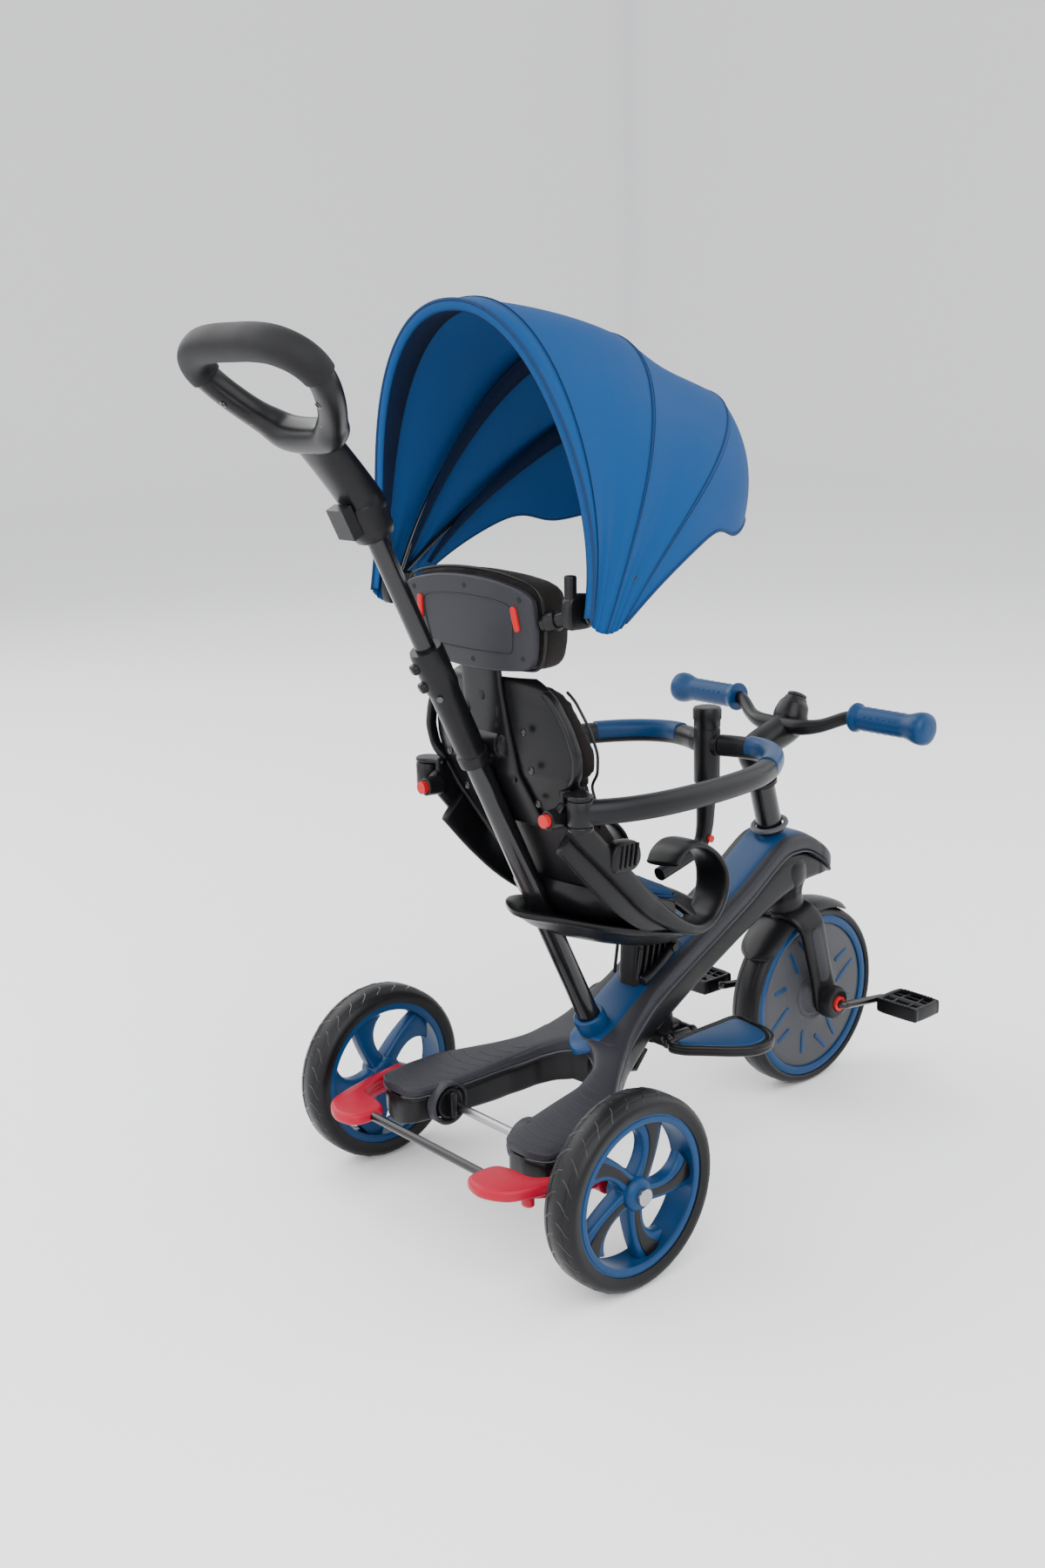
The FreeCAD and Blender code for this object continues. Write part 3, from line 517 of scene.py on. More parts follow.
    def _mix(self, tree: bpy.types.NodeTree, mask: object, first: object, second: object) -> object:
        """Add a colour mix; each colour is a socket or three numbers."""
        node = tree.nodes.new("ShaderNodeMix")
        node.data_type = "RGBA"
        tree.links.new(mask, node.inputs[0])
        for place, value in ((6, first), (7, second)):
            if isinstance(value, bpy.types.NodeSocket):
                tree.links.new(value, node.inputs[place])
            else:
                node.inputs[place].default_value = (*value, 1.0)
        return node.outputs[2]

    def _build(self, paint: Paint) -> bpy.types.Material:
        """Make a finish's material from the shared groups."""
        finish = paint.value
        made = bpy.data.materials.new(paint.name.lower())
        made.use_nodes = True
        tree = made.node_tree
        shader = tree.nodes["Principled BSDF"]
        places = tree.nodes.new("ShaderNodeTexCoord")
        cloth = finish.kind is Weave.CLOTH
        spot = places.outputs["Object"]
        grain = self._place(tree, self.grain, spot, Scale=finish.grain)
        patches = self._maths(tree, "MULTIPLY", grain.outputs["Patches"], finish.mottle * 2)
        colour = self._mix(tree, patches, finish.colour, finish.worn)
        height = grain.outputs["Height"]
        if cloth:
            weave = self._place(tree, self.weave, places.outputs["UV"], Threads=finish.grain)
            shade = self._maths(tree, "MULTIPLY", weave.outputs["Shade"], 0.22)
            colour = self._mix(tree, shade, colour, finish.worn)
            height = weave.outputs["Height"]
        wear = self._place(tree, self.wear, spot, Amount=finish.wear)
        colour = self._mix(tree, wear.outputs["Mask"], colour, finish.worn)
        dust = self._place(tree, self.dust, spot, Amount=finish.dust)
        colour = self._mix(tree, dust.outputs["Mask"], colour, (0.22, 0.22, 0.23))
        tree.links.new(colour, shader.inputs["Base Color"])
        gloss = self._maths(tree, "MULTIPLY", grain.outputs["Patches"], 0.16)
        tree.links.new(self._maths(tree, "ADD", gloss, finish.roughness - 0.08), shader.inputs["Roughness"])
        shader.inputs["Metallic"].default_value = finish.metallic
        shader.inputs["Specular IOR Level"].default_value = finish.shine
        shader.inputs["Coat Weight"].default_value = finish.coat
        shader.inputs["Coat Roughness"].default_value = 0.12
        shader.inputs["Sheen Weight"].default_value = finish.sheen
        bump = tree.nodes.new("ShaderNodeBump")
        bump.inputs["Strength"].default_value = finish.depth
        bump.inputs["Distance"].default_value = 0.0006 if cloth else 0.0004
        tree.links.new(height, bump.inputs["Height"])
        tree.links.new(bump.outputs["Normal"], shader.inputs["Normal"])
        return made


SHOP = Workshop()


# ------------------------------------------------------------------ pieces
def build(name: str, surfaces: Surface | Sequence[Surface], paint: Paint, body: str,
          replaces: Sequence[str] = (), sharp: float = 38.0, thick: float = 0.0,
          ride: bool = True) -> bpy.types.Object:
    """Make one object from surfaces: joined, normals outward, painted, riding on its body.

    Args:
        name: the piece's name.
        surfaces: its surfaces, in millimetres.
        paint: its finish.
        body: the CAD body that it moves with.
        replaces: CAD nodes that it stands for.
        sharp: edges that turn by more than this many degrees stay crisp.
        thick: wall given to an open sheet, in millimetres.
        ride: whether it rides on the body here; when false it is left without a parent.

    Returns:
        The object.
    """
    parts = [surfaces] if isinstance(surfaces, Surface) else list(surfaces)
    starts = np.cumsum([0] + [len(part.points) for part in parts])
    faces = [tuple(v + start for v in face) for part, start in zip(parts, starts) for face in part.faces]
    mesh = bpy.data.meshes.new(name)
    points = np.vstack([part.points for part in parts])
    mesh.from_pydata(to_metres(points), [], faces)
    mesh.update()
    loops = np.zeros(len(mesh.loops), np.int32)
    mesh.loops.foreach_get("vertex_index", loops)
    flat = np.vstack([part.points[:, :2] / 1000.0 + part.points[:, 2:] / 1000.0 if part.flat is None
                      else part.flat for part in parts])
    layer = mesh.uv_layers.new(name="threads")
    layer.data.foreach_set("uv", flat[loops].astype(np.float32).ravel())
    work = bmesh.new()
    work.from_mesh(mesh)
    bmesh.ops.recalc_face_normals(work, faces=work.faces)
    work.to_mesh(mesh)
    work.free()
    mesh.shade_smooth()
    mesh.set_sharp_from_angle(angle=math.radians(sharp))
    mesh.materials.append(SHOP.material(paint))
    piece = bpy.data.objects.new(name, mesh)
    bpy.context.scene.collection.objects.link(piece)
    if thick:
        wall = piece.modifiers.new("wall", "SOLIDIFY")
        wall.thickness = thick / 1000.0
        wall.offset = -1.0
    if ride:
        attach(piece, body)
    if replaces:
        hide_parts(*replaces)
    LOG.info("%s: %d points on %s", name, len(points), body)
    return piece


def repaint(node: str, paint: Paint) -> None:
    """Give a CAD node that keeps its shape its finish."""
    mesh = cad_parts[node].data
    mesh.materials.clear()
    mesh.materials.append(SHOP.material(paint))
    if not mesh.uv_layers:
        mesh.uv_layers.new(name="threads")
    mesh.shade_smooth()
    mesh.set_sharp_from_angle(angle=math.radians(30))


def puff(piece: bpy.types.Object, voxel: float, cap: float) -> None:
    """Dent and swell a closed pad like stuffed fabric: remesh it, let cloth with inner pressure settle, and
    hold every point within a cap of where it began. A large pad moves further than its cap almost everywhere,
    so there the cap sets the shape.

    Args:
        piece: the pad, a little smaller than it ends up.
        voxel: size of the remesh cells, in millimetres.
        cap: furthest that a point may move, in millimetres.
    """
    scene = bpy.context.scene
    remesh = piece.modifiers.new("cells", "REMESH")
    remesh.mode = "VOXEL"
    remesh.voxel_size = voxel / 1000.0
    remesh.use_smooth_shade = True
    graph = bpy.context.evaluated_depsgraph_get()
    base = bpy.data.meshes.new_from_object(piece.evaluated_get(graph))
    piece.modifiers.clear()
    materials = list(piece.data.materials)
    piece.data = base
    base.materials.clear()
    base.materials.append(materials[0])
    start = np.zeros(len(base.vertices) * 3)
    base.vertices.foreach_get("co", start)
    end = start.copy()
    cloth = piece.modifiers.new("cloth", "CLOTH")
    cloth.settings.use_pressure = True
    cloth.settings.uniform_pressure_force = FILLING_PRESSURE
    cloth.settings.effector_weights.gravity = 0.0
    cloth.settings.quality = 5
    cloth.point_cache.frame_start, cloth.point_cache.frame_end = 1, SETTLING_FRAMES
    for moment in range(1, SETTLING_FRAMES + 1):
        scene.frame_set(moment)
    graph = bpy.context.evaluated_depsgraph_get()
    settled = bpy.data.meshes.new_from_object(piece.evaluated_get(graph))
    if len(settled.vertices) == len(base.vertices):
        settled.vertices.foreach_get("co", end)
    piece.modifiers.clear()
    bpy.data.meshes.remove(settled)
    scene.frame_set(1)
    step = (end - start).reshape(-1, 3)
    length = np.linalg.norm(step, axis=1)[:, None] + 1e-12
    step *= np.minimum(1.0, cap / 1000.0 / length)
    base.vertices.foreach_set("co", (start.reshape(-1, 3) + step).ravel())
    place = base.uv_layers.new(name="threads")
    loops = np.zeros(len(base.loops), np.int32)
    base.loops.foreach_get("vertex_index", loops)
    spots = start.reshape(-1, 3)
    flat = np.stack([spots[:, 0] + spots[:, 1], spots[:, 2] + spots[:, 0] * 0.3], axis=1)
    place.data.foreach_set("uv", flat[loops].astype(np.float32).ravel())
    base.shade_smooth()
    base.update()
    finer = piece.modifiers.new("smooth", "SUBSURF")
    finer.levels = finer.render_levels = 1


@dataclass
class RearWheel:
    """One rear wheel: tyre, five-spoke rim whose channels are dark as painted shade, hub and bolt."""

    side: int
    spokes: int = 5

    def make(self) -> None:
        """Build the wheel's pieces."""
        label = "left" if self.side > 0 else "right"
        body = f"{label}_wheel"
        hub = np.array([0.0, self.side * REAR_Y, REAR_R])
        out = Y * self.side
        tread = [(-20.5, 93), (-20.8, 98), (-17, 102.6), (-12, 104.4), (-11, 103.6), (-10, 104.6), (0, 105),
                 (10, 104.6), (11, 103.6), (12, 104.4), (17, 102.6), (20.8, 98), (20.5, 93), (18.5, 86.5),
                 (0, 85.6), (-18.5, 86.5)]
        build(f"tyre_{label}_tread", lathe(tread, hub, out, 120, True), Paint.TYRE, body, [f"tyre_{label}"], 50)
        cuts = [spline([hub + out * (face * a) + X * 40 * b + Z * math.sqrt(c**2 - (40 * b) ** 2)
                        for (a, c), b in zip(((17.6, 101.6), (14.5, 103.7), (8.0, 104.5), (2.0, 104.7)), turns)],
                       14)
                for face, turns in ((1, (0.0, 0.12, 0.28, 0.36)), (-1, (0.2, 0.3, 0.5, 0.56)))]
        sipes = [turned(sweep(line, (0.8, 0.35), Z, 2.0, 6), hub, 12.0 * k) for k in range(30) for line in cuts]
        build(f"tyre_{label}_sipes", sipes, Paint.STEEL, body)
        rim = [(-17, 86.4), (-17.5, 80), (-15.5, 77.5), (-12, 78.2), (12, 78.2), (15.5, 77.5), (17.5, 80),
               (17, 86.4)]
        nave = [(-18.6, 0), (-18.6, 14), (-15, 18.5), (12, 18.5), (17, 15.5), (18.8, 10), (18.8, 0)]
        shapes = [lathe(rim, hub, out, 120, True), lathe(nave, hub, out, 60)]
        # The channel strips on the spokes are dark as painted shade in their recesses.
        channels = []
        for number in range(self.spokes):
            angle = 72.0 * number + 18.0
            shapes.append(turned(self._spoke(hub, out, 1.0, 0.0, 10.0), hub, angle))
            channels.append(turned(self._spoke(hub, out, 0.46, 9.2, 1.5), hub, angle))
        build(f"rim_{label}_casting", shapes, Paint.BLUE, body, [f"rim_{label}"], 42)
        build(f"rim_{label}_channels", channels, Paint.DARK, body)
        lip = [(15.8, 78.6), (17.4, 77.2), (18.6, 79.5), (18.0, 83.5), (16.4, 84.2)]
        build(f"rim_{label}_lip", lathe(lip, hub, out, 120, True), Paint.BLUE, body)
        cap = [(17, 8.6), (21, 8.4), (22.2, 7.2), (22.2, 3.6), (20.8, 3.0), (20.8, 0)]
        build(f"rim_{label}_nut", lathe(cap, hub, out, 24), Paint.BARE, body)

    def _spoke(self, hub: Array, out: Array, share: float, lift: float, deep: float) -> Surface:
        """A spoke as an oval section carried from the nave to the rim along a bent line: its angle grows with
        the square of the distance, and it flares where it meets the rim.

        Args:
            hub: centre of the wheel.
            out: direction away from the tricycle.
            share: share of the full width.
            lift: distance out of the middle plane.
            deep: half thickness.

        Returns:
            The closed surface.
        """
        far = np.linspace(0.0, 1.0, 26)
        radius = 12.0 + 67.0 * far
        bend = -0.34 * far**1.6 * self.side
        path = hub + radius[:, None] * (np.cos(bend)[:, None] * X + np.sin(bend)[:, None] * Z) + out * lift
        wide = (8.6 + 15.0 * far**3.2 + 2.0 * (1 - far) ** 3) * share
        half = np.stack([wide, np.full_like(wide, deep) * (1.1 - 0.25 * far)], axis=1)
        return sweep(path, half, out, 4.0, 32)


@dataclass
class Chassis:
    """The beam with its two rear legs: grey top shell, pale lip, dark underside, blue inlay, ribs and knobs."""

    top: tuple = ((-60, 136), (-20, 138), (30, 142), (80, 147), (115, 156), (150, 176), (190, 204), (240, 234),
                  (310, 268), (385, 308), (420, 332), (452, 352), (490, 351), (520, 334), (548, 312), (566, 298))
    bottom: tuple = ((-60, 91), (60, 92), (100, 98), (140, 112), (170, 128), (220, 158), (290, 196), (372, 238),
                     (430, 262), (492, 284), (530, 286), (566, 290))
    outside: tuple = ((-60, 128), (-48, 143), (-10, 145), (30, 138), (75, 112), (120, 77), (160, 54), (210, 42),
                      (300, 38), (470, 38), (520, 36), (542, 27), (556, 15), (562, 2))
    inside: tuple = ((-60, 80), (-48, 76), (-15, 67), (30, 60), (75, 55), (108, 44), (126, 27), (136, 4))
    depth: float = 24.0

    def levels(self, x: Array) -> tuple[Array, Array]:
        """Top and bottom heights at x."""
        return line_at(self.top, x, 20.0), line_at(self.bottom, x, 20.0)

    def stations(self) -> tuple[Array, Array, Array]:
        """Stations along x with the outer and inner edges of the left leg, which runs on as the whole beam."""
        leg = np.linspace(-57.0, 136.0, 66)
        beam = np.concatenate([np.linspace(139.0, 520.0, 90), 520 + 42 * np.sin(np.linspace(0.06, 1.57, 14))])
        x = np.concatenate([leg, beam])
        outer = np.maximum(line_at(self.outside, x, 9.0), 1.0)
        nose = np.clip((562.2 - x) / 42.0, 0.0, 1.0)
        outer = np.where(x > 520, 36 * np.sqrt(np.maximum(1 - (1 - nose) ** 2, 0.001)), outer)
        rear = np.clip((x + 57.5) / 14.0, 0.0, 1.0)
        round_off = 14 * (1 - np.sqrt(1 - (1 - rear) ** 2))
        inner = np.where(x < 137, line_at(self.inside, x, 7.0), -outer)
        return x, outer - round_off, np.where(x < 137, inner + round_off, inner)

    def tube(self, x: Array, outer: Array, inner: Array, high: Array, low: Array, power: float = 4.5) -> Surface:
        """Loft whose section at each station is a squarish oval between two edges and two heights."""
        ring = oval(56, power)
        y = (outer + inner)[:, None] / 2 + (outer - inner)[:, None] / 2 * ring[None, :, 0]
        z = (high + low)[:, None] / 2 + (high - low)[:, None] / 2 * ring[None, :, 1]
        return lattice(np.stack([np.broadcast_to(x[:, None], y.shape), y, z], axis=2))

    @staticmethod
    def share(x: Array) -> Array:
        """How much of its full depth the top shell has at x: thin on the legs, full on the beam."""
        return line_at(((-60, 0.46), (40, 0.48), (120, 0.66), (200, 0.95), (240, 1.0), (570, 1.0)), x, 15.0)

    def layer(self, inset: float, drop_high: float, drop_low: float | None, power: float) -> list[Surface]:
        """One layer of the frame: the left leg with the beam, and the right leg ending inside it.

        Args:
            inset: how far the layer stands in from the outline.
            drop_high: its top below the top line.
            drop_low: its bottom below the top line, or None for the bottom line.
            power: squareness of the section.

        Returns:
            The layer's surfaces.
        """
        x, outer, inner = self.stations()
        top, bottom = self.levels(x)
        high = top - drop_high * self.share(x)
        low = bottom if drop_low is None else top - drop_low * self.share(x)
        low = np.minimum(low, high - 2.0)
        left = self.tube(x, outer - inset, inner + inset, high, low, power)
        xr = np.linspace(-57.0, 172.0, 80)
        outer_r = np.interp(xr, x, outer)
        inner_r = np.where(xr < 134, np.interp(xr, x[:66], inner[:66]), 4.0)
        top_r, bottom_r = self.levels(xr)
        thin = self.share(xr)
        high_r = top_r - drop_high * thin
        low_r = np.minimum(bottom_r if drop_low is None else top_r - drop_low * thin, high_r - 2.0)
        fade = np.clip((xr - 138) / 34, 0, 1) * 8.0
        right = self.tube(xr, outer_r - inset - fade, inner_r + inset, high_r - fade * 0.6, low_r + fade * 0.6,
                          power)
        return [left, mirrored(right)]

    def roof(self, x: Array, y: Array) -> Array:
        """Height of the top shell at x and y: the squarish oval solved for height."""
        sx, outer, inner = self.stations()
        a = np.interp(x, sx, (outer - inner) / 2)
        mid = np.interp(x, sx, (outer + inner) / 2)
        top, _ = self.levels(x)
        share = np.clip(np.abs((y - mid) / a), 0, 0.98)
        half = self.depth / 2 * self.share(x)
        return top - half + half * (1 - share**4.5) ** (1 / 4.5)

    def make(self) -> None:
        """Build the frame's pieces."""
        build("frame_top_shell", self.layer(0.0, 0.0, self.depth, 4.5), Paint.GREY, "frame", ["frame_shell"], 55)
        build("frame_lip", self.layer(-0.7, 21.0, 24.6, 2.5), Paint.LIP, "frame", sharp=60)
        boss = [(130.6, 10), (131.6, 22.6), (150, 24), (164, 29), (180, 36), (205, 34), (215, 10)]
        neck = lathe(boss, on_caster(0), on_caster(1) - on_caster(0), 60, soft=40)
        ribs = [sweep(np.array([[188.0, y, 118], [206.0, y, 113], [224.0, y, 134]]), (4.0, 9.0), Y, 3.0)
                for y in (-8.0, 8.0)]
        build("frame_belly", self.layer(4.0, self.depth - 1.0, None, 5.0) + [neck] + ribs, Paint.DARK, "frame",
              ["frame_underside"], 55)
        self._inlay()
        self._grips_of_legs()
        self._knobs()
        ring = [(-3, 18.4), (-3, 22.4), (-1, 24.0), (1.6, 23.4), (2.6, 21.4), (2.2, 18.4)]
        axis = on_caster(1) - on_caster(0)
        build("head_ring_lip", lathe(ring, on_caster(252.5), axis, 64, True), Paint.LIP, "frame", ["head_ring"])
        socket = [(-8, 13.8), (-8, 18), (8, 19.4), (14.5, 18.6), (16, 16.6), (15.5, 13.6)]
        lean = POLE_TOP - POLE_FOOT
        build("pole_socket_collar", lathe(socket, on_pole(182.0), lean, 56, True), Paint.BLUE, "frame",
              ["pole_socket"])
        repaint("rear_axle", Paint.BARE)

    def _inlay(self) -> None:
        """The blue inlay: across each station a flat oval follows the roof of the shell."""
        half = ((122, 0.5), (126, 14), (134, 23), (160, 30), (210, 30), (300, 28), (420, 28), (470, 32), (500, 31),
                (518, 22), (528, 8), (530, 0.5))
        x = np.linspace(122.5, 529.5, 120)
        wide = np.maximum(line_at(half, x, 5.0), 0.6)
        ring = oval(48, 3.0)
        y = wide[:, None] * ring[None, :, 0]
        z = self.roof(np.broadcast_to(x[:, None], y.shape).ravel(), y.ravel()).reshape(y.shape)
        z = z - 2.0 + 3.3 * ring[None, :, 1]
        grid = np.stack([np.broadcast_to(x[:, None], y.shape), y, z], axis=2)
        build("beam_inlay_blue", lattice(grid), Paint.BLUE, "frame", ["beam_inlay"], 60)

    def _grips_of_legs(self) -> None:
        """Low ribs across the top of both legs, bowed towards the rear."""
        ribs = []
        sx, outer, inner = self.stations()
        for x0 in np.arange(-38.0, 112.0, 15.0):
            lo, hi = np.interp(x0, sx, inner) + 9, np.interp(x0, sx, outer) - 7
            y = np.linspace(lo, hi, 16)
            x = x0 - 7 * np.sin(np.linspace(0, math.pi, 16))
            path = np.stack([x, y, self.roof(x, y) - 0.25], axis=1)
            rib = sweep(path, (0.8, 0.9), Z, 2.0, 8)
            ribs += [rib, mirrored(rib)]
        build("frame_rubbing_ribs", ribs, Paint.GREY, "frame")

    def _knobs(self) -> None:
        """Round knobs with a grip bar on the inner side of each leg, over dark wells."""
        shapes, wells = [], []
        for side in (1, -1):
            centre = np.array([-12.0, side * 66.0, 113.0])
            face = -Y * side
            shapes.append(lathe([(-10, 17), (0, 18.6), (3.0, 17.6), (4.0, 15), (2.6, 12), (2.6, 0)], centre, face,
                                48))
            bar = plate(capsule((-12.0, 101.0), (-12.0, 125.0), 4.2), *sorted((side * 55.5, side * 66.0)), 2.0, "y")
            shapes.append(bar)
            wells.append(lathe([(-8, 20), (3.5, 21.4), (5.0, 23.2), (3.0, 25.4), (-8, 25.4)], centre, face, 48,
                               True))
        build("axle_knob_pair", shapes, Paint.DARK, "frame", ["axle_knobs"])
        build("axle_knob_rims", wells, Paint.GREY, "frame")


@dataclass
class Brake:
    """The foot brake: two red pedals joined by a black bar."""

    def make(self) -> None:
        """Build the brake."""
        outline = spline([(-127, 112), (-127, 130), (-114, 152), (-92, 163), (-60, 172), (-20, 181), (4, 182),
                          (4, 168), (-36, 164), (-62, 152), (-72, 140), (-75, 112), (-84, 97), (-104, 94),
                          (-120, 98)], 140, True)
        shapes = []
        for side in (1, -1):
            pad = plate(outline * np.array([1.0, side]), 107.5, 121.0, 5.0, "z")
            shapes.append(pad)
            lug = lathe([(-9, 6), (-9.6, 13), (-8, 15), (8, 15), (9.6, 13), (9, 6)],
                        np.array([0.0, side * 174.0, REAR_R]), Y, 48)
            shapes.append(lug)
            path = np.array([[-84.0, side * 146, 108], [-60, side * 160, 106], [-30, side * 170, 105],
                             [0, side * 174, 105]])
            shapes.append(sweep(spline(path, 20), (7.0, 6.0), Z, 3.0, 24, rounding=3))
            heel = sweep(np.array([[-84.0, side * 150, 108], [-86, side * 152, 98]]), (8, 5), X, 2.5, 20,
                         rounding=4)
            shapes.append(heel)
        build("brake_pedals", shapes, Paint.RED, "brake_pedal", ["brake"], 50)
        rod = sweep(np.array([[-97.0, -112, 114], [-97, 0, 114], [-97, 112, 114]]), (5, 5), Z, 2, 32)
        build("brake_bar", rod, Paint.STEEL, "brake_pedal")


@dataclass
class Steering:
    """Fork, fender, stem, bar and grips, all turning on the caster axis."""

    def make(self) -> None:
        """Build the steering's pieces."""
        self._fork()
        self._fender()
        self._stem()
        self._grips()

    def _fork(self) -> None:
        """The fork: one squarish section carried up a blade, over the wheel and down the other blade."""
        drop = np.linspace(-20.0, 104.0, 30)
        bend = np.linspace(0.0, math.pi / 2, 14)
        side_y = np.concatenate([np.full(30, 38.5), 12.0 + 26.5 * np.cos(bend)[1:]])
        height = np.concatenate([drop, 104.0 + 25.5 * np.sin(bend)[1:]])
        wide = np.concatenate([np.interp(drop, [-20, -16, -8, 0, 40, 104], [6, 13, 19, 21, 18.5, 20]),
                               np.linspace(20, 23, 13)])
        y = np.concatenate([side_y, [0.0], -side_y[::-1]])
        s = np.concatenate([height, [129.5], height[::-1]])
        w = np.concatenate([wide, [23.0], wide[::-1]])
        path = np.array([on_caster(a, 0.0, b) for a, b in zip(s, y)])
        ahead = on_caster(0, 1) - on_caster(0)
        half = np.stack([np.full_like(w, 5.4), w], axis=1)
        yoke = sweep(path, half, ahead, 4.0, 40, rounding=2)
        axis = on_caster(1) - on_caster(0)
        collar = lathe([(123, 12), (123, 23.6), (129, 23.8), (130.6, 22.6), (130.6, 14)], on_caster(0), axis, 56)
        build("fork_casting", [yoke, collar], Paint.DARK, "steering", ["fork"], 50)
        panels, pits = [], []
        for side in (1, -1):
            low, high = on_caster(38.0), on_caster(100.0)
            panel = capsule((low[0], low[2]), (high[0], high[2]), 8.2)
            frame_line = capsule((low[0], low[2]), (high[0], high[2]), 10.2)
            panels.append(plate(panel, *sorted((side * 42.0, side * 44.6)), 0.8, "y"))
            pits.append(plate(frame_line, *sorted((side * 42.0, side * 44.2)), 0.5, "y"))
        build("fork_panels", panels, Paint.GREY, "steering")
        build("fork_panel_seams", pits, Paint.DARK, "steering")
        caps, faces = [], []
        for side in (1, -1):
            centre = np.array([FRONT_HUB[0], side * 44.0, FRONT_R])
            out = Y * side
            caps.append(lathe([(-1, 12), (-1, 21.5), (10, 21), (14.5, 19.4), (16, 16), (15.4, 11), (12.5, 10.2),
                               (12.5, 6)], centre, out, 56))
            faces.append(lathe([(10, 5.6), (13.6, 9.6), (15.4, 8.8), (16.0, 6.6), (15.2, 5.4)], centre, out, 40,
                               True))
        build("hub_cap_shells", caps, Paint.DARK, "steering", ["hub_caps"])
        build("hub_cap_rings", faces, Paint.SIGNAL, "steering")
        repaint("clutch_button", Paint.SIGNAL)

    def _fender(self) -> None:
        """The fender: a shallow arch across, carried round the wheel, with rounded ends."""
        turn = np.radians(np.linspace(58.0, 146.0, 60))
        ends = np.sqrt(np.maximum(1 - np.abs(np.linspace(-1, 1, 60)) ** 9, 0.02))
        v = np.linspace(-1.0, 1.0, 25)
        outer_r = 128.2 - 7.5 * np.abs(v) ** 2.6
        inner_r = 122.0 - 2.0 * np.abs(v) ** 2.6
        ring_r = np.concatenate([outer_r, inner_r[::-1]])
        ring_y = np.concatenate([v, v[::-1]])
        y = 31.0 * ends[:, None] * ring_y[None, :]
        radius = np.broadcast_to(ring_r[None, :], y.shape)
        x = FRONT_HUB[0] + radius * np.cos(turn)[:, None]
        z = FRONT_R + radius * np.sin(turn)[:, None]
        build("fender_shell", lattice(np.stack([x, y, z], axis=2)), Paint.DARK, "steering", ["fender"], 55)

    def _stem(self) -> None:
        """Stem and bar: round sections along smooth lines, wider at the clamp."""
        repaint("steerer_tube", Paint.STEEL)
        path = spline([on_caster(312), on_caster(336), on_caster(356, 2), (486, 0, 480), (497, 0, 497),
                       (505, 0, 512)], 44)
        radius = np.interp(np.linspace(0, 1, 44), [0, 0.04, 0.5, 0.75, 0.92, 1], [17.6, 19.2, 19.6, 21.5, 18.5, 14])
        column = sweep(path, np.stack([radius * 0.96, radius], axis=1), Y, 2.2, 40, rounding=4)
        band = lathe([(0, 17.2), (0, 20.2), (5, 20.4), (6, 17.2)], on_caster(310), on_caster(1) - on_caster(0), 48,
                     True)
        build("stem_clamp", [column, band], Paint.DARK, "steering", ["stem"], 60)
        top = np.array([506.5, 0.0, 515.0])
        build("stem_cap", lathe([(-3, 9), (1.5, 12.6), (4.0, 11.6), (5.2, 8), (4.6, 0)], top, top - path[-6], 40),
              Paint.GREY, "steering")
        line = [(504, 197, 503), (504, 150, 503), (504, 98, 503), (500, 82, 501), (486, 56, 490), (477, 34, 486),
                (475, 12, 485)]
        line = line + [(x, -y, z) for x, y, z in reversed(line)]
        curve = spline(line, 150)
        thick = 8.0 + 2.4 * np.exp(-(curve[:, 1] / 46.0) ** 4)
        build("handlebar_tube", sweep(curve, np.stack([thick, thick], axis=1), Z, 2.0, 32), Paint.DARK, "steering",
              ["handlebar"], 60)

    def _grips(self) -> None:
        """Blue grips: a profile of flange, ribbed waist and mushroom end turned about the bar."""
        waist = [(106 + 5 * k, 14.6 + (0.55 if k % 2 else -0.15)) for k in range(13)]
        profile = [(92, 9), (92, 16.6), (94, 18), (97.5, 17.6), (101, 15.2)] + waist + [
            (172, 15.4), (179, 17.4), (185, 19.2), (192, 19.6), (197, 18.2), (200, 14), (200.4, 6), (200.4, 0)]
        bar = np.array([504.0, 0.0, 503.0])
        shapes = [lathe(profile, bar, Y * side, 56) for side in (1, -1)]
        build("grip_sleeves", shapes, Paint.BLUE, "steering", ["grips"], 45)
        dimples = []
        for side in (1, -1):
            for k in range(6):
                spot = bar + np.array([-13.4, side * (116 + 9 * k), 5.5])
                dimples.append(lathe([(0, 1.6), (1.0, 1.2), (1.4, 0)], spot, np.array([-1.0, 0, 0.4]), 10))
        build("grip_nubs", dimples, Paint.BLUE, "steering")


